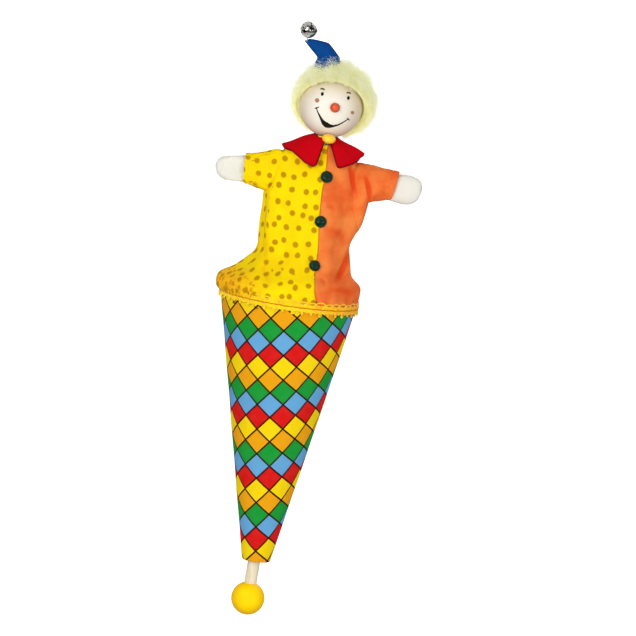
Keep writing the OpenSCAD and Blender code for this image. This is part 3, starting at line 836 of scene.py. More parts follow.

# %% [markdown]
# The halves are sewn down the front and the back, glued to the rim and tied at the neck.


# %% Bodice halves
def bodice_half(name, start, cloth, node):
    """Half the bodice from seam to seam. Its two edges turn in, so the seam shows as a thin valley."""
    rows, columns = 190, 170
    h = np.linspace(0.3, BODICE_H, rows)[:, None]
    share = np.linspace(0, 1, columns)
    gap = 0.0025
    phi = start + seam_turn(h) + gap + (np.pi - 2 * gap) * share
    points, depth = bodice(h, phi)
    near = np.minimum(share, 1 - share) * np.pi * 30
    inward = 0.55 * np.exp(-((near / 0.7) ** 2))
    middle = stack(0 * h + stick_x(h), 0 * h, points[..., 2].mean(1, keepdims=True))
    points = points - unit(points - middle) * inward[:, None]
    faces, where = grid(rows, columns)
    # Painted shade: amber marks the rolled cloth low on the left, and crease keeps how deep each fold is.
    amber = clamp((-16 - points[..., 0]) / 30) * clamp((27 - h) / 12)
    values = seen_from(points) | {"crease": depth, "amber": amber}
    made = piece(name, points, faces, cloth, points[..., [0, 2]], where, values)
    thicken(made, "cloth", 0.5)
    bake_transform(made)
    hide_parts(node)


bodice_half("bodice_yellow_cloth", np.pi, YELLOW, "bodice_yellow")
bodice_half("bodice_orange_cloth", 0.0, ORANGE, "bodice_orange")

# %% [markdown]
# ## The arms
# A sleeve is a row of ovals along the arm, given by their lowest and highest points and half their depth. The
# mitt is the same with a closed end. The slack side of the orange half is one more such row, which stays with
# the body.


# %% Limb forms
def limb(stations, rows, columns, power, side):
    """Ovals along X in the dowel's frame. Power 2 is an ellipse, more is squarer."""
    s = np.array(stations, float)
    x = np.linspace(s[0, 0], s[-1, 0], rows)
    width = max(3, rows // 14) | 1
    half_side, even = width // 2, np.ones(width) / width
    padded = (np.pad(v, half_side, "reflect", reflect_type="odd") for v in read(s[:, 1:], s[:, 0], x).T)
    low, high, deep = (np.convolve(v, even, "valid") for v in padded)
    t = circle(columns)
    c, n = np.cos(t), np.sin(t)
    c, n = np.sign(c) * np.abs(c) ** (2 / power), np.sign(n) * np.abs(n) ** (2 / power)
    z = NECK_Z + (low + high)[:, None] / 2 + (high - low)[:, None] / 2 * n
    y = deep[:, None] * c
    return stack(side * np.broadcast_to(x[:, None], y.shape), y, z)


SLEEVE_LEFT = [(24, -36, -18.5, 4.0), (27, -40.5, -14.0, 5.6), (30, -43.5, -11.6, 7.0),
               (33, -44.8, -10.6, 8.2), (36, -45.4, -10.6, 9.0), (39, -45.2, -11.2, 9.6),
               (42, -44.5, -12.2, 10), (46, -43.6, -13.3, 10.2), (52, -42.4, -15.3, 9.9),
               (57.6, -41.2, -17.2, 9.5), (59.8, -40.8, -17.8, 9.3)]
SLEEVE_RIGHT = [(23, -34, -15.0, 4.0), (26, -38, -11.4, 6.6), (30, -40.5, -9.6, 8.6), (34, -41.4, -9.5, 9.4),
                (38, -41.5, -9.8, 11.2), (41.3, -41.2, -10.1, 11.3), (43, -40.2, -10.2, 11.0),
                (46, -38.4, -10.5, 10.6), (52, -37.0, -11.1, 10.2), (58, -35.8, -11.8, 9.7),
                (60.8, -35.2, -12.2, 9.5)]
SLACK_SIDE = [(22, -58, -30, 5.0), (26, -69, -28, 8.2), (28, -74, -27, 9.4), (31, -77, -26, 10.4),
              (32.4, -74.6, -26, 10.8), (34.6, -69.3, -27, 11.0), (38.7, -62.5, -29, 10.9),
              (40.2, -57.9, -31, 10.2), (41, -52.5, -33, 9.0), (41.6, -47, -35, 7.0),
              (42.2, -42.5, -38.5, 2.0)]
MITT_LEFT = [(53, -40.2, -19.6, 6.2), (62, -40.8, -19.2, 6.8), (68, -41.2, -20.2, 6.8),
             (73, -40.9, -21.5, 6.3), (77, -39.6, -23.0, 5.4), (79.8, -37.2, -24.6, 4.3),
             (81.4, -34.6, -26.6, 3.0), (82.2, -31.4, -29.4, 1.0)]
MITT_RIGHT = [(53, -34.8, -14.8, 6.2), (62, -36.6, -13.8, 6.8), (68, -37.2, -13.4, 6.8),
              (73, -36.8, -13.7, 6.3), (76.6, -35.2, -14.8, 5.4), (79.4, -32.6, -16.6, 4.3),
              (81.1, -28.8, -18.6, 3.0), (81.9, -24.4, -22.6, 1.0)]

print("arms reach from", SLEEVE_LEFT[0][0], "to", MITT_LEFT[-1][0], "mm off the dowel")

# %% [markdown]
# The arms are filled softly. A form that is blown up a little as simulated cloth swells as it would round a
# filling, and a cap on how far a point goes keeps it on its solid. Its ends are held.


# %% Soft filling
def girth(points):
    """Flat coordinates of closed rings: along the limb, and round it by arc length from the first column."""
    ring = np.concatenate([points, points[:, :1]], 1)
    steps = np.linalg.norm(np.diff(ring, axis=1), axis=-1)
    round_it = np.cumsum(np.pad(steps, ((0, 0), (1, 0))), 1)
    along = np.concatenate([[0], np.cumsum(np.linalg.norm(np.diff(points, axis=0), axis=-1).mean(1))])
    return stack(np.broadcast_to(along[:, None], round_it.shape), round_it)


def inflate(rings, faces, held, cap, pressure=4.0, frames=14):
    """Blows a closed form up as cloth at ten times its size, and caps how far any point goes, in mm."""
    points, held = rings.reshape(-1, 3), held.ravel()
    mesh = bpy.data.meshes.new("puff")
    mesh.from_pydata((points * MM * 10).tolist(), [], [f for block in faces for f in block.tolist()])
    puff = bpy.data.objects.new("puff", mesh)
    bpy.context.scene.collection.objects.link(puff)
    pin = puff.vertex_groups.new(name="held")
    for index in np.flatnonzero(held > 0.02):
        pin.add([int(index)], float(held[index]), "REPLACE")
    cloth = puff.modifiers.new("cloth", "CLOTH").settings
    cloth.quality, cloth.mass = 6, 0.25
    cloth.tension_stiffness, cloth.compression_stiffness, cloth.bending_stiffness = 18, 12, 0.35
    cloth.vertex_group_mass = "held"
    cloth.use_pressure, cloth.uniform_pressure_force = True, pressure
    cloth.shrink_min = -0.02
    cloth.effector_weights.gravity = 0
    scene = bpy.context.scene
    for number in range(1, frames + 1):
        scene.frame_set(number)
    blown = puff.evaluated_get(bpy.context.evaluated_depsgraph_get())
    out = np.zeros(len(points) * 3, np.float32)
    blown.data.vertices.foreach_get("co", out)
    move = out.reshape(-1, 3) / (MM * 10) - points
    size = np.linalg.norm(move, axis=1, keepdims=True)
    scene.frame_set(1)
    bpy.data.objects.remove(puff)
    bpy.data.meshes.remove(mesh)
    return (points + move * np.minimum(1, cap / np.maximum(size, 1e-9))).reshape(rings.shape)


# %% [markdown]
# The mitts are felt, sewn from two halves. The sleeves are the bodice's cotton, with its creases, and end in
# a slanting hem with a lip turned in. As the puppet goes down, both fold in towards the dowel.

# %% Mitts and sleeves
SLANT = {-1: 0.6, 1: 1.6}
MITT_FELT = material("white_felt", flecked(flat_mm, srgb(218, 215, 201), srgb(244, 241, 230)), 0.95,
                     shared_by(flat_mm, FELT), 0.35, Sheen_Weight=0.35, Sheen_Roughness=0.6)
SHOULDER = {-1: tuple(on_stick([0, 0, 308]) * MM), 1: tuple(on_stick([0, 0, 310]) * MM)}
ACROSS = (math.cos(LEAN), 0, -math.sin(LEAN))


def follow_arm(made, side):
    """Rides on the arm, and folds in towards the dowel as the puppet goes down."""
    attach(made, "arm_left" if side < 0 else "arm_right")
    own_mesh(made)


def mitt(name, stations, side, node):
    """A padded mitt, shrunk a little before it is blown up, with a ridge where its two halves are sewn."""
    rows, columns = 52, 48
    local = limb(stations, rows, columns, 2.25, side)
    points = on_stick(local)
    middle = points.mean(1, keepdims=True)
    points = middle + (points - middle) * 0.96
    faces, where = capped(rows, columns)
    flat = girth(points)
    root = clamp(1 - (np.abs(local[..., 0]) - 53) / 7)
    points = inflate(points, faces, root, 1.3)
    column = np.arange(columns)
    from_seam = np.minimum(np.abs(column - columns / 4), np.abs(column - 3 * columns / 4))
    ridge = 0.35 * np.exp(-((from_seam / 0.8) ** 2))
    points = points + unit(points - points.mean(1, keepdims=True)) * ridge[None, :, None]
    made = piece(name, points, faces, MITT_FELT, flat, where)
    follow_arm(made, side)
    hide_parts(node)


def creased(name, points, faces, cloth, where):
    """Presses the costume's creases into the front of closed rings of cloth, and makes their piece."""
    front = np.where(points[..., 1] < 0, 1.0, 0.0)
    depth = sum(crease(points[..., 0], points[..., 2], front, *c) for c in CREASES)
    points[..., 1] -= 0.8 * depth
    ring = np.concatenate([points, points[:, :1]], 1)
    # The crease depth is kept for the cloth's painted shade.
    values = seen_from(points, True) | {"crease": np.clip(-depth, 0, 2)}
    return piece(name, points, faces, cloth, ring[..., [0, 2]], where, values)


def sleeve(name, stations, side, cloth, node):
    """A sleeve with a slanting cut end, slack waves, a sewn hem and a lip turned in towards the mitt."""
    rows, columns = 90, 110
    local = limb(stations, rows, columns, 2.15, side)
    x = np.abs(local[..., 0])
    end = x.max()
    high = np.clip((local[..., 2] - NECK_Z + 26) / 12, -1, 1)
    cut = clamp((x - 44) / (end - 44)) ** 2
    tuck = np.where(high < -0.55, 1.0, 0) * SLANT[side] * 2.2 * (-0.55 - high)
    local[..., 0] += side * cut * (SLANT[side] * high - tuck)
    points = on_stick(local)
    middle = points.mean(1, keepdims=True)
    around = circle(columns)
    ends = clamp(1 - np.minimum(x - x.min(), end - x) / 4)
    points = inflate(points, capped(rows, columns)[0], ends, 0.9)
    length = clamp((x - x.min()) / (end - x.min()))
    slack = 0.35 * np.sin(5 * around + x / 3.1) * np.sin(np.pi * length)
    hem = -0.45 * np.exp(-(((x - end + 4.2) / 0.5) ** 2)) + 0.15 * np.exp(-(((x - end + 2.2) / 1.6) ** 2))
    points = points + unit(points - middle) * (slack + hem)[..., None]
    shrink = np.array([0.97, 0.9, 0.88])[:, None, None]
    inward = side * np.array([0, 0.3, 3.0])[:, None, None] * np.array(ACROSS)
    points = np.concatenate([points, middle[-1:] + (points[-1:] - middle[-1:]) * shrink - inward])
    faces, where = grid(len(points), columns, True)
    made = creased(name, points, faces, cloth, where)
    follow_arm(made, side)
    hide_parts(node)
    print(name, "cloth area", round(area_of(made) * 1e4), "square cm")


def slack_side():
    """The orange half's slack side under the arm. It stays with the body when the arm swings."""
    rows, columns = 80, 80
    local = limb(SLACK_SIDE, rows, columns, 2.1, 1)
    points = on_stick(local)
    faces, where = capped(rows, columns)
    ends = clamp(1 - np.minimum(local[..., 0] - 22, 42.2 - local[..., 0]) / 3)
    points = inflate(points, faces, ends, 0.7)
    made = creased("slack_side_cloth", points, faces, ORANGE, where)
    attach(made, "costume")
    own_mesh(made)


slack_side()
sleeve("sleeve_yellow_cloth", SLEEVE_LEFT, -1, YELLOW, "sleeve_yellow")
sleeve("sleeve_orange_cloth", SLEEVE_RIGHT, 1, ORANGE, "sleeve_orange")
mitt("mitt_left_felt", MITT_LEFT, -1, "mitt_left")
mitt("mitt_right_felt", MITT_RIGHT, 1, "mitt_right")

# %% [markdown]
# ## Collar, bead and buttons
# The felt collar is cut with two pointed lapels. Rays run from its neck edge to its outer edge and sag along
# a low arch. Its attribute "cut" rises to 1 along the cut edge, where painted shade darkens the felt.

# %% Collar
COLLAR_EDGE = [
    (-3.4, -18.3, 16.8), (-4.2, -18.6, 20.0), (-5.9, -18.8, 21.3), (-8, -18.7, 21.1), (-14, -17.4, 19.0),
    (-19, -14.6, 15.8), (-24.4, -11.0, 12.6), (-30.9, -6.2, 11.8), (-33.0, -3.4, 9.6), (-32.6, 1.5, 9.2),
    (-29.5, 6, 9.6), (-22, 14.5, 10), (-11.5, 19.5, 11), (0, 21, 11.4), (11.5, 19.5, 10.6), (22, 14.5, 8.8),
    (29.5, 4.5, 7.2), (32.5, -2.6, 6.2), (32.2, -3.8, 7.8), (30.0, -6.0, 9.6), (29.2, -7.8, 11.2),
    (28.4, -9.2, 12.4), (25.1, -13, 14.5), (19.6, -16.4, 17.2), (15, -18.2, 19), (12.7, -18.4, 18.4),
]


def red_colour(tree):
    """Dyed felt, with painted shade along its cut edge and where it is seen at a slant."""
    dyed = flecked(flat_mm, srgb(176, 0, 14), srgb(214, 4, 22))(tree)
    # Painted shade: deep maroon at the outline and along the cut edge.
    grazing = ramp(slant(tree), 0.6, 0.92, 0.0, 0.85)
    return blend_colour(grazing.math("MAXIMUM", stored(tree, "cut") * 0.8), dyed, srgb(84, 0, 24))


RED = material("red_felt", red_colour, 0.92, shared_by(flat_mm, FELT), 0.3)


def collar():
    """The collar's felt between its neck edge at t = 0 and its outer edge at t = 1."""
    edge = np.array(COLLAR_EDGE, float) * (1, 1, -1)
    walk = walked(edge)
    fine = np.unique(np.concatenate([np.linspace(0, walk[-1], 240), walk]))
    rim = read(edge, walk, fine)
    turn = np.radians(-184 + 352 * (fine / walk[-1]))
    neck = stack(9.4 * np.sin(turn), 9.4 * np.cos(turn), 0 * turn)
    t = np.linspace(0, 1, 26)[:, None, None]
    arch = 0.9 * np.sin(np.pi * t[..., 0]) + 0.5 * np.sin(2 * np.pi * t[..., 0]) * np.sin(3 * turn)
    local = neck + (rim - neck) * t
    local[..., 2] += arch + COLLAR_Z + 0.5 + 2.6 * (1 - t[..., 0]) ** 2
    drop = clamp(t[..., 0] * 1.6 - 0.6) ** 2
    local[..., 1] += 0.8 * drop * np.cos(turn)
    points = on_stick(local)
    faces, where = grid(len(t), len(fine))
    flat = local[..., :2] * np.array([1.0, 1.25])
    from_ends = np.minimum(fine, walk[-1] - fine) * t[..., 0]
    # cut marks the cut edge, which gets painted shade.
    cut = clamp(np.maximum(1 - from_ends / 1.1, (t[..., 0] - 0.94) / 0.06))
    made = piece("collar_felt", points, faces, RED, flat, where, {"cut": cut})
    thicken(made, "felt", 1.3, 0)
    soft = made.modifiers.new("cut edge", "BEVEL")
    soft.width, soft.segments, soft.limit_method, soft.angle_limit = 0.3 * MM, 2, "ANGLE", math.radians(50)
    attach(made, "costume")
    tuple(on_stick([0, 0, COLLAR_Z]) * MM)
    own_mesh(made)
    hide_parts("collar")


collar()

# %% [markdown]
# Each button is a turned and dyed dome that sits square on the cloth, on the seam. The cloth's normal there
# is the cross product of its two tangents. The throat bead hangs on a thread, a closed loop round the dowel.

# %% Buttons and bead thread
BUTTON_FIRST = 34.2
BUTTON_STEP = 34.7
BUTTONS = [("button_bottom", 4.6, -0.038), ("button_middle", 4.75, 0.022), ("button_top", 4.9, 0.026)]
BUTTON_GLOSS = material(
    "green_button", two_tone(mottle(2.5, 0.3, 0.7), srgb(2, 29, 17), srgb(4, 55, 33)),
    mottle(1.2, 0.2, 0.8, 0.16, 0.3), mottle(3.0), 0.03, shine=0.25, Coat_Weight=0.12, Coat_Roughness=0.08)


def on_bodice(h, phi):
    """The bodice's point at height h and azimuth phi."""
    return bodice(np.array([h]), np.array([phi]))[0][0]


def button(name, h, node, radius, aside):
    """A dome whose foot is sunk in the cloth, with its axis along the cloth's normal."""
    phi = float(seam_turn(h)) + aside
    here = on_bodice(h, phi)
    across = on_bodice(h, phi + 0.06) - on_bodice(h, phi - 0.06)
    up = on_bodice(h + 4, phi) - on_bodice(h - 4, phi)
    normal = unit(np.cross(across, up))
    t = np.linspace(0, 1, 14)
    dome = stack(radius * np.cos(t * np.pi / 2) ** 0.8, 0.7 + 3.0 * np.sin(t * np.pi / 2))
    profile = np.concatenate([[(0, 0), (radius * 0.86, 0), (radius * 0.97, 0.25)], dome])
    points, faces = revolve(profile, 56)
    turn = Vector(normal).to_track_quat("Z", "Y").to_matrix()
    points = points.reshape(-1, 3) @ np.array(turn).T + here + normal * 0.35
    made = piece(name, points, faces, BUTTON_GLOSS)
    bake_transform(made)
    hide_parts(node)


def bead_cord():
    """The thread that holds the throat bead: once round the dowel over the collar, and through the bead."""
    t = circle(60)
    ring = stack(5.9 * np.sin(t), -4.9 - 11.4 * np.cos(t), COLLAR_Z + 2.8 + 0.4 * np.cos(t))
    return tube(on_stick(ring), 0.5, 8, np.tile([0, 0, 1.0], (60, 1)), closed=True)


cord = piece("bead_cord", *bead_cord(), YARN)
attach(cord, "costume")

for k, (node, radius, aside) in enumerate(BUTTONS):
    button(node + "_dome", BUTTON_FIRST + BUTTON_STEP * k, node, radius, aside)
print("buttons at", [round(BUTTON_FIRST + BUTTON_STEP * k, 1) for k in range(3)], "mm over the rim")

# %% [markdown]
# ## The head
# The wig is a hood of long plush. The hood is a surface of revolution, tilted back so that its pole looks up
# and behind, and its lip turns in at the face.

# %% Hood form
WIG_TILT = math.radians(-55)
WIG_X = 1.0
WIG_UP = 1.5
WIG_ROOT_R = 28.4
WIG_LINING_R = 26.9
WIG_CLEAR_R = 25.2
WIG_CUT = -20.0
HOOD_ARC = math.radians(94)
LIP_ARC = math.radians(175)
LIP_R = 1.6


def on_hood(p):
    """From the hood's frame, with its pole along Z, to the room: tilted about X, then put on the head."""
    c, s = math.cos(WIG_TILT), math.sin(WIG_TILT)
    x, y, z = p[..., 0], p[..., 1], p[..., 2]
    return on_stick(stack(x + WIG_X, c * y - s * z, s * y + c * z + HEAD_Z + WIG_UP))


def over_head(world):
    """Height over the head's middle, along the dowel."""
    return (world - HEAD_AT) @ DOWEL_UP


def hood_profile(s):
    """The hood's (radius, height), normal and downhill way. s is 0 to 1 on the ball, 1 to 2 at the lip."""
    polar = HOOD_ARC * clamp(s)
    turn = polar + LIP_ARC * clamp(s - 1)
    normal = stack(np.sin(turn), np.cos(turn))
    down = stack(np.cos(turn), -np.sin(turn))
    outward_ball = stack(np.sin(polar), np.cos(polar))
    return WIG_ROOT_R * outward_ball + LIP_R * (normal - outward_ball), normal, down


print("hood lip at radius", round(float(hood_profile(np.array([2.0]))[0][0, 0]), 1), "mm")

# %% [markdown]
# Plush is thousands of hairs. A hair system would do, but hairs worked out as whole arrays can follow the
# hood and its locks exactly. They grow at golden-angle steps, hair k at azimuth k times 2.39996, which
# spreads them evenly. Each bends from the hood's normal towards the face's edge, and the locks share a slow
# swirl.

# %% Plush hairs
GOLDEN = math.pi * (3 - math.sqrt(5))
JOINTS, SIDES = 5, 3


def hair_roots(count, low, high, phase):
    """Where each hair stands, the hood's normal and downhill way there, and how far in front it is.

    Up to s = 1 equal steps of height, cos(polar) = 1 - (1 - cos(arc)) k / count, give each the same area.
    """
    k = np.arange(count) + 0.5
    s = low + (high - low) * k / count
    if high <= 1:
        s = np.arccos(1 - (1 - math.cos(HOOD_ARC)) * k / count) / HOOD_ARC
    a = k * GOLDEN + phase
    ring = stack(np.sin(a), -np.cos(a), 0 * a)
    up = np.array([0, 0, 1.0])
    root, n, d = (ring * v[:, :1] + up * v[:, 1:] for v in hood_profile(s))
    return root, n, d, clamp(np.cos(a)) * clamp(s) ** 2


def hair_rings(path, side, n, thick):
    """Three corners round each joint: path + thick (b cos(angle) + c sin(angle)), with b and c across it."""
    b = unit(side[:, None] * np.cos(1.0) + n[:, None] * np.sin(1.0) + 0 * path)
    c = unit(np.cross(unit(np.gradient(path, axis=1)), b))
    angle = np.array([0, 2.0944, 4.18879])[None, None, :, None]
    return path[:, :, None] + thick * (b[:, :, None] * np.cos(angle) + c[:, :, None] * np.sin(angle))


def strands(count, low, high, length, phase, seed, fine=1.0):
    """Tapered hairs: at share t a hair is at root + tall t (n cos(1.1 bend t) + d sin(1.35 bend t)).

    It leaves that arc sideways by its sway and a small wave. Hairs of a lock bend, sway and grow alike.
    """
    rng = np.random.default_rng(seed)
    root, n, d, fore = hair_roots(count, low, high, phase)
    side = np.cross(n, d)
    x, y, z = root.T
    swirl = np.sin(0.55 * x + 0.9 * np.sin(0.4 * z)) + 0.7 * np.sin(0.8 * y + 0.5 * z + 1)
    lock = np.sin(1.9 * x + 1.3 * z) * np.sin(1.7 * y + 0.8)
    level = over_head(on_hood(root))
    bend = 0.55 + 0.2 * fore + 0.22 * lock + 0.16 * rng.normal(size=count)
    sway = 0.28 * swirl + 0.2 * rng.normal(size=count)
    place_share = 0.92 + 0.35 * level / WIG_ROOT_R + 0.16 * x / WIG_ROOT_R
    tall = length * (place_share + 0.16 * rng.normal(size=count) + 0.12 * lock)
    bend, sway, tall = (v[:, None, None] for v in (bend, sway, tall))
    t = np.linspace(0, 1, JOINTS)[None, :, None]
    rise, curve = np.cos(bend * t * 1.1), np.sin(bend * t * 1.35)
    path = root[:, None] + tall * t * (n[:, None] * rise + d[:, None] * curve + side[:, None] * sway * t)
    wave = 0.25 * np.sin(6 * t + 4 * rng.random(count)[:, None, None])
    path = path + side[:, None] * wave * t
    rings = hair_rings(path, side, n, fine * (0.27 * (1 - t) ** 0.7 + 0.03)[..., None])
    tone = np.broadcast_to(t, (count, JOINTS, 1)) * np.ones(SIDES)
    odd = np.broadcast_to(rng.random((count, 1, 1)), tone.shape)
    keep = level > WIG_CUT
    keep &= np.linalg.norm(path[:, -1] + np.array([WIG_X, 0, 0]), axis=1) > WIG_CLEAR_R
    world, tone, odd = on_hood(rings)[keep], tone[keep], odd[keep]
    first = np.arange(len(world))[:, None] * JOINTS * SIDES
    faces = (first[:, None] + grid(JOINTS, SIDES, True)[0]).reshape(-1, 4)
    tips = first + [(JOINTS - 1) * SIDES + np.arange(SIDES)]
    return world.reshape(-1, 3), [faces, tips], tone.ravel(), odd.ravel()


print("a hair has", JOINTS, "joints and", SIDES, "sides")

# %% [markdown]
# The tips are paler than the roots. The knitted back that the hairs grow from shows through where they part,
# so it has the roots' tone. A fine halo of longer hairs softens the outline.


# %% Wig
def plush_colour(tree):
    """Greenish yellow at the root, near white at the tip, with odd dark strands and painted shade on the
    front.
    """
    tip, odd, place = stored(tree, "tip"), stored(tree, "odd"), place_mm(tree)
    tone = blend_colour(ramp(tip, 0.0, 0.45), srgb(212, 210, 120), srgb(243, 242, 184))
    tone = blend_colour(ramp(tip, 0.55, 1.0), tone, srgb(247, 246, 228))
    tone = blend_colour(ramp(use(MOTTLE, place, 5.0), 0.42, 0.68, 0.0, 0.5), tone, srgb(232, 231, 152))
    tone = blend_colour(ramp(odd, 0.6, 1.0, 0.0, 0.6), tone, srgb(210, 207, 122))
    # Painted shade: the front of the pile, round the face, is darkened.
    return blend_colour(ramp(split(place)[1], -20.0, 8.0, 1.0, 0.0), tone, srgb(222, 222, 212), "MULTIPLY")


def plush(name, colour, roughness, height, depth, glow, strength):
    """Pile with painted light: a faint glow of its own lifts the shade between its hairs."""
    return material(name, colour, roughness, height, depth, Emission_Color=glow, Emission_Strength=strength)


# The piles, the halo and the hood each glow a little: painted light.
PLUSH = plush("plush", plush_colour, 0.8, None, 0.1, srgb(250, 249, 200), 0.28)
HALO_COLOUR = two_tone(lambda tree: stored(tree, "odd"), srgb(222, 226, 206), srgb(246, 247, 232))
HALO = plush("plush_halo", HALO_COLOUR, 0.9, None, 0.1, srgb(246, 247, 222), 0.2)
HOOD_COLOUR = two_tone(shared_by(place_mm, FELT, out=1), srgb(222, 219, 136), srgb(238, 236, 168))
HOOD = plush("plush_back", HOOD_COLOUR, 0.95, shared_by(place_mm, FELT), 0.5, srgb(250, 249, 204), 0.12)


def hood():
    """The knitted back that the pile grows from, closed round its lip and inside."""
    s = np.concatenate([np.linspace(0, 1, 40), 1 + np.linspace(0.05, 1, 14)])
    place, _, _ = hood_profile(s)
    inner = np.radians(np.linspace(92, 1, 36))
    lining = WIG_LINING_R * stack(np.sin(inner), np.cos(inner))
    points, faces = revolve(np.concatenate([place, lining]), 120)
    world = on_hood(points)
    world = world + DOWEL_UP * np.maximum(0, WIG_CUT - over_head(world))[..., None]
    return piece("wig_hood", world, faces, HOOD)


PILES = [
    ("wig_pile_1", PLUSH, (6200, 0, 1, 4.7, 0.0, 7)),
    ("wig_pile_2", PLUSH, (6200, 0, 1, 5.4, 1.1, 8)),
    ("wig_pile_3", PLUSH, (4200, 0.86, 1.2, 4.6, 0.3, 9)),
    ("wig_halo", HALO, (5600, 0, 1, 9.6, 2.2, 31, 0.42)),
]


def wig():
    """The hood and its piles of hair."""
    made = [hood()]
    for name, look, numbers in PILES:
        points, faces, tip, odd = strands(*numbers)
        made.append(piece(name, points, faces, look, values={"tip": tip, "odd": odd}))
    for pile in made[1:]:
        tuple(on_stick([WIG_X, 0, HEAD_Z]) * MM)
        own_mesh(pile)
    for part in made:
        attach(part, "stick")
    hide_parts("wig")
    return made


print("wig:", sum(len(o.data.polygons) for o in wig()), "faces")

# %% [markdown]
# The face is brushed on. A stroke is a line with a width at each point, and every point is set on the ball:
# seen from a little above, an offset (x, z) in the view lies at depth sqrt(R^2 - x^2 - z^2) towards the eye.

# %% Face paint
BELOW = math.radians(-4.6)
FACE_UP = 0.75
BRUSH = 1.3
MOUTH = [(-11.1, -4.4, 0.5), (-10.0, -6.7, 0.7), (-8.0, -9.5, 1.0), (-5.6, -12.7, 1.6), (-3.4, -15.0, 2.7),
         (-1.2, -16.2, 3.4), (1.3, -16.6, 2.4), (4.4, -16.1, 1.3), (8.2, -14.4, 0.85), (11.4, -12.0, 0.7),
         (15.0, -8.7, 0.5)]
TICKS = [[(-12.4, -5.0, 0.5), (-10.7, -4.0, 0.8), (-9.1, -3.1, 0.5)],
         [(13.8, -8.0, 0.5), (15.0, -8.8, 0.8), (16.3, -9.6, 0.5)]]
EYES = [(-8.4, 7.3), (12.3, 7.6)]
BROWS = [(-8.8, 11.0), (12.0, 11.4)]
CHEEKS = [(-11.6, 1.7, 1.75), (17.4, -3.2, 1.4)]


def on_face(flat, lift=0.06):
    """Points (x, z) of the view as points on the head, lifted off its paint."""
    x, z = flat[..., 0], flat[..., 1] + FACE_UP
    d = np.sqrt(HEAD_R**2 - x**2 - z**2)
    y, z = -z * math.sin(BELOW) - d * math.cos(BELOW), z * math.cos(BELOW) - d * math.sin(BELOW)
    ball = stack(x, y, z) * (1 + lift / HEAD_R)
    return on_stick(ball + [0, 0, HEAD_Z])


def stroke(points, steps=60):
    """A brush stroke: a smooth line through (x, z, width) with round ends."""
    p = np.array(points, float)
    s = walked(p[:, :2])
    t = np.linspace(0, s[-1], steps)
    line = eased(eased(eased(read(p, s, t))))
    along = unit(np.gradient(line[:, :2], axis=0))
    across = stack(-along[:, 1], along[:, 0])
    end = np.minimum(t, t[-1] - t) / 0.35
    half = BRUSH * line[:, 2:] / 2 * np.sqrt(np.clip(1 - (1 - np.minimum(end, 1)) ** 2, 0.02, 1))[:, None]
    rows = np.linspace(-1, 1, 7)[:, None, None]
    flat = line[None, :, :2] + rows * half[None] * across[None]
    return on_face(flat).reshape(-1, 3), [grid(7, steps)[0]]


def oval(x, z, wide, tall):
    """A filled oval of rings."""
    t = circle(36)
    r = np.linspace(0.02, 1, 6)[:, None]
    flat = stack(x + wide / 2 * r * np.cos(t), z + tall / 2 * r * np.sin(t))
    return on_face(flat, 0.07).reshape(-1, 3), capped(6, 36)[0][:2]


def brow(x, z):
    """A brow is an arc over its eye."""
    t = np.radians(np.linspace(150, 30, 9))
    return stroke([(x + 1.9 * math.cos(a), z - 1.1 + 1.5 * math.sin(a), 0.8) for a in t], 24)


INK = material("black_paint", two_tone(mottle(3.0), srgb(8, 6, 4), srgb(20, 14, 10)),
               0.35, mottle(1.0), 0.02, shine=0.2)
BLUSH = material("brown_orange_paint", two_tone(mottle(2.0), srgb(160, 112, 82), srgb(176, 128, 96)),
                 0.4, mottle(1.0), 0.02, shine=0.3)


def outward(part):
    """The same patch with its faces turned away from the head's middle."""
    points, faces = part
    return points, [f if turned_out(points, f, HEAD_AT) else f[:, ::-1] for f in faces]


def face():
    """The painted lines in black, and the two cheek spots."""
    lines = [stroke(MOUTH, 110)] + [stroke(t, 24) for t in TICKS]
    lines += [brow(*b) for b in BROWS] + [oval(x, z, 2.3, 3.1) for x, z in EYES]
    cheeks = [oval(x, z, 2 * r, 2 * r) for x, z, r in CHEEKS]
    for name, parts, colour in (("face_lines", lines, INK), ("face_cheeks", cheeks, BLUSH)):
        made = piece(name, *gather([outward(p) for p in parts]), colour)
        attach(made, "stick")
        print(name, len(made.data.polygons), "faces")


face()

# %% [markdown]
# The hat is a felt cone that has folded flat over to the side. Its sections are given by the two sides of its
# outline and half its depth. The seam runs up its back.

# %% Hat
HAT = [(-18.2, 394, 2.4, 393, 9.6), (-17.9, 400.5, 2.2, 403.0, 9.0), (-17.3, 403, 0.4, 408.2, 8.3),
       (-16.9, 404.6, -4.6, 413.2, 7.4), (-17.2, 405.3, -9.3, 417.4, 6.6), (-18.6, 406.7, -11.2, 417.9, 5.9),
       (-21.6, 409.3, -15.6, 418.3, 4.8), (-24.8, 412.2, -19.6, 418.6, 3.5),
       (-27.4, 414.6, -22.8, 418.6, 2.2), (-28.5, 415.7, -24.6, 418.4, 1.1),
       (-28.8, 416.2, -25.6, 418.1, 0.4)]


def blue_colour(tree):
    """Dyed felt, with painted shade along its outline."""
    dyed = flecked(place_mm, srgb(4, 46, 108), srgb(14, 88, 164))(tree)
    # Painted shade: near black blue where the felt is seen edge on.
    return blend_colour(ramp(slant(tree), 0.6, 1.0, 0.0, 0.75), dyed, srgb(2, 18, 48))


BLUE = material("blue_felt", blue_colour, 0.92, shared_by(place_mm, FELT), 0.3)


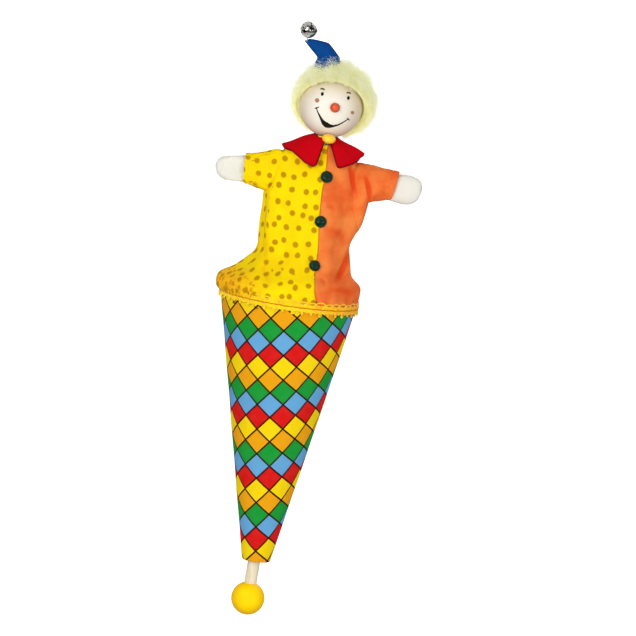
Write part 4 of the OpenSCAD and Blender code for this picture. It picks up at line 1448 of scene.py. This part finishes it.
def hat():
    """The hat's rings, each from two points of the outline and the depth between them."""
    table = np.array(HAT, float)
    s = np.linspace(0, len(table) - 1, 90)
    v = eased(read(table, np.arange(len(table)), s))
    t = circle(72)
    c, n = np.sign(np.cos(t)) * np.abs(np.cos(t)) ** 0.82, np.sin(t)
    seam = 0.35 * np.exp(-((np.abs(t - np.pi * 0.62) / 0.05) ** 2))
    dent = 0.5 * np.sin(s[:, None] * 1.9) * np.sin(2 * t)
    x0, z0, x1, z1, deep = (v[:, k:k + 1] for k in range(5))
    x = (x0 + x1) / 2 + (x1 - x0) / 2 * c
    z = (z0 + z1) / 2 + (z1 - z0) / 2 * c
    y = -(deep + seam * clamp(deep / 4) + dent * clamp(deep / 8)) * n
    made = piece("hat_felt", on_stick(stack(x, y, z)), capped(90, 72)[0], BLUE)
    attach(made, "stick")
    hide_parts("hat")
    return made


print("hat:", len(hat().data.polygons), "faces")

# %% [markdown]
# Four turns of dark blue thread hold the bell's loop on the hat's point.

# %% Bell's stitches
BELL_THREAD = thread("dark_blue_thread", 0.6, srgb(6, 22, 52), srgb(16, 52, 96), 0.04)


def bell_thread():
    """Each turn goes round a section of the hat between the last two rows of its table."""
    parts = []
    t = circle(20)
    a, b = np.array(HAT[-2:], float)
    along = unit((b - a)[[0, 4, 1]] * (1, 0, 1))
    for k, share in enumerate((0.15, 0.35, 0.55, 0.75)):
        x0, z0, x1, z1, deep = a + (b - a) * share
        wide = np.array([x1 - x0, 0, z1 - z0]) / 2
        middle = np.array([(x0 + x1) / 2, 0, (z0 + z1) / 2])
        path = middle + np.cos(t)[:, None] * wide * 1.06 + np.sin(t)[:, None] * np.array([0, deep + 0.3, 0])
        path = path + along * (0.12 * np.sin(2 * t + k))[:, None]
        parts.append(tube(on_stick(path), 0.16, 6, (0, 1, 0.3), closed=True))
    made = piece("bell_thread", *gather(parts), BELL_THREAD)
    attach(made, "stick")
    return made


print("bell thread:", len(bell_thread().data.polygons), "faces")

# %% [markdown]
# ## The solids that stay
# The dowel, head, nose, knob, bell, bead, binding, guide ring and card keep their own meshes and get paint,
# wood, metal and thread.


# %% Finishes of the solids
def wood(name, light, dark, roughness):
    """Wood: rings between two tones, with darker pores."""
    def colour(tree):
        place = place_mm(tree)
        base = blend_colour(use(GRAIN, place), light, dark)
        return blend_colour(use(GRAIN, place, out=1) * 0.35, base, dark)

    return material(name, colour, roughness, shared_by(place_mm, GRAIN, out=1), 0.03)


# The face's painted light is brightest round this point.
FACE_MIDDLE = tuple(on_stick([-1.5, -24.5, HEAD_Z - 4.5]))
BELL_Z = float(on_stick([-26.6, 0, 425.6])[2])


def face_colour(tree):
    """Painted light and shade: near white round the nose and mouth, darker beige towards the sides of the
    ball.
    """
    near = put(tree, "VectorMath", place_mm(tree), FACE_MIDDLE, out=1, operation="DISTANCE")
    shaded_sides = two_tone(mottle(22.0, 0.3, 0.72), srgb(221, 206, 186), srgb(213, 196, 176))(tree)
    # Painted shade towards the sides of the ball, painted light at the front of the face.
    return blend_colour(ramp(near, 8.0, 30.0), srgb(236, 230, 216), shaded_sides)


def rim_shaded(name, middle, edge, rough, **more):
    """A dipped ball with painted shade that deepens its colour towards its outline."""
    def colour(tree):
        spot = two_tone(mottle(9.0, 0.3, 0.7, 0.0, 0.25), middle, edge)(tree)
        # Painted shade: the edge colour where the ball is seen edge on.
        return blend_colour(ramp(slant(tree), 0.1, 0.8), spot, edge)

    return material(name, colour, rough, mottle(1.4), 0.02, **more)


def metal_colour(tree):
    """Bright metal with painted dark reflections in patches, most of them near the bell's crimped seam."""
    place = place_mm(tree)
    from_seam = abs(split(place)[2] - BELL_Z)
    # Painted reflection: dark patches stand for a dark studio seen in the metal.
    dark_reflection = ramp(use(MOTTLE, place, 2.4), 0.5, 0.56) * ramp(from_seam, 2.6, 4.6, 0.97, 0.0)
    return blend_colour(dark_reflection, srgb(238, 236, 230), srgb(22, 18, 14))


def fibre(tree):
    """Card's fibres, drawn out along the cone."""
    return ramp(noise(place_mm(tree) * (1, 1, 0.25), 1.3, 6.0, 0.7), 0.35, 0.7)


def windings(tree):
    """Turns of thread up the dowel: |sin 4.2 z|, one for every 0.75 mm."""
    return abs((split(place_mm(tree))[2] * 4.2).math("SINE"))


STEEL = material("bell_steel", metal_colour, mottle(1.5, 0.2, 0.8, 0.12, 0.3), mottle(1.8), 0.06,
                 Metallic=1.0)
FINISH = {
    "cone_shell": material("rolled_card", two_tone(fibre, srgb(186, 160, 124), srgb(214, 192, 158)), 0.9,
                           shared_by(place_mm, FELT), 0.08),
    "tip_guide": wood("guide_beech", srgb(226, 196, 150), srgb(190, 148, 98), 0.6),
    "stick": wood("pale_dowel", srgb(236, 228, 205), srgb(219, 202, 164), 0.55),
    "knob": rim_shaded("yellow_paint", srgb(254, 216, 0), srgb(246, 190, 0), 0.5, shine=0.08),
    "head": material("face_paint", face_colour, 0.45, mottle(1.4), 0.02, 0.3),
    "nose": rim_shaded("nose_paint", srgb(232, 92, 40), srgb(150, 40, 16), 0.28, shine=0.4, Coat_Weight=0.3),
    "bell_lower": STEEL,
    "bell_upper": STEEL,
    "bell_pellet": material("pellet_steel", metal_colour, 0.3, mottle(0.8), 0.03, Metallic=1.0),
    "neck_binding": material("wound_thread", two_tone(windings, srgb(205, 190, 150), srgb(244, 236, 208)),
                             0.7, windings, 0.3),
    "throat_bead": material("bead_paint",
                            two_tone(mottle(5.0, 0.3, 0.72), srgb(255, 214, 40), srgb(255, 184, 60)),
                            mottle(2.0, 0.25, 0.75, 0.3, 0.44), mottle(1.4), 0.02, 0.4, Coat_Weight=0.3),
}
for node, finish in FINISH.items():
    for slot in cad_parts[node].material_slots:
        slot.link = "OBJECT"
        slot.material = finish
print("finished solids:", len(FINISH))

# %% [markdown]
# ## Stage, light and camera
# The floor is plain and pale and so is the space behind. The camera looks along +Y from a little above, and
# is rolled so that the cone leans 7.13 degrees clockwise, as in the photograph.


# %% Stage
FLOOR_Z = -330
FLOOR_HALF = 9000
SKY_R = 8800


def matt(name, tone, brightness=0.0):
    """A matt grey that may give light of its own, as a lit studio wall does."""
    return material(name, srgb(tone, tone, tone), 0.9, shine=0.5, Emission_Color=(1, 1, 1, 1),
                    Emission_Strength=brightness)


def stage():
    """A floor and a dome behind it, which the camera sees and the puppet isn't lit by."""
    corners = [(-1, -1), (1, -1), (1, 1), (-1, 1)]
    floor_points = [[x * FLOOR_HALF, y * FLOOR_HALF, FLOOR_Z] for x, y in corners]
    floor = piece("floor", floor_points, [[[0, 1, 2, 3]]], matt("pale_floor", 250, 0.75))
    t = circle(48)
    p = np.radians(np.linspace(-20, 89.5, 24))[:, None]
    dome = SKY_R * stack(np.cos(p) * np.cos(t), np.cos(p) * np.sin(t), np.sin(p) + 0 * t)
    sky = piece("backdrop", dome, grid(24, 48, True)[0], matt("pale_backdrop", 250, 1.1))
    for seen in (floor, sky):
        seen.visible_diffuse = seen.visible_glossy = seen.visible_shadow = False


def flag(name, radius, low, high, start, turns):
    """A curved black card that only shows in reflections, where it draws dark lines in metal."""
    t = np.radians(np.linspace(start, start + turns, 40))
    z = np.array([low, high])[:, None] + 60 * np.sin(5 * t) + 0 * t
    points = stack(radius * np.cos(t) + 0 * z, radius * np.sin(t) + 0 * z, z)
    card = piece(name, points, grid(2, 40)[0], matt(name + "_card", 6))
    card.visible_camera = card.visible_diffuse = card.visible_shadow = False


def lamp(name, place, aim, size, watts):
    """A round area lamp at place, turned towards aim. Both are in metres."""
    light = bpy.data.lights.new(name, "AREA")
    light.shape, light.size, light.energy = "DISK", size, watts
    holder = bpy.data.objects.new(name, light)
    bpy.context.scene.collection.objects.link(holder)
    holder.location = place
    holder.rotation_mode = "QUATERNION"
    holder.rotation_quaternion = (Vector(aim) - Vector(place)).to_track_quat("-Z", "Y")


def lighting():
    """A grey world, and three lamps: one in front, one that fills the right side and one behind."""
    world = bpy.data.worlds.new("studio")
    bpy.context.scene.world = world
    world.use_nodes = True
    background = world.node_tree.nodes["Background"].inputs
    background["Color"].default_value = (1, 1, 1, 1)
    background["Strength"].default_value = 0.5
    middle = (0.02, 0, 0.25)
    lamp("key", (-0.7, -1.5, 0.6), middle, 1.2, 16.0)
    lamp("fill", (0.95, -1.4, 0.15), middle, 1.2, 10.0)
    lamp("back", (0.5, 1.3, 1.0), middle, 0.9, 8)


stage()
flag("flag_high", 1500, 560, 1000, 160, 200)
flag("flag_low", 1500, -700, 300, 165, 190)
lighting()
view = bpy.context.scene.view_settings
view.view_transform, view.look = "Standard", "None"

# %% [markdown]
# A long lens from 4 m keeps the proportions that the photograph's camera had.

# %% Camera
AIM = np.array([0.025, 0, 0.1996])
AWAY = 4.0
RAISED = math.radians(7.0)


def camera():
    """Looks at the middle of the photograph. Its axes are rolled by 7.13 degrees and raised by 7."""
    right, up, back = (np.array(v, float) for v in ((0.9923, 0, 0.1241), (-0.1241, 0, 0.9923), (0, -1, 0)))
    c, s = math.cos(RAISED), math.sin(RAISED)
    back, up = back * c + up * s, up * c - back * s
    lens = bpy.data.cameras.new("camera")
    lens.lens, lens.sensor_width = 285.0, 36.0
    lens.clip_start, lens.clip_end = 0.05, 60
    holder = bpy.data.objects.new("camera", lens)
    bpy.context.scene.collection.objects.link(holder)
    axes = np.stack([right, up, back, AIM + AWAY * back], 1).tolist()
    holder.matrix_world = Matrix([*axes, [0, 0, 0, 1]])
    bpy.context.scene.camera = holder
    return holder


print("camera at", [round(x, 3) for x in camera().location])
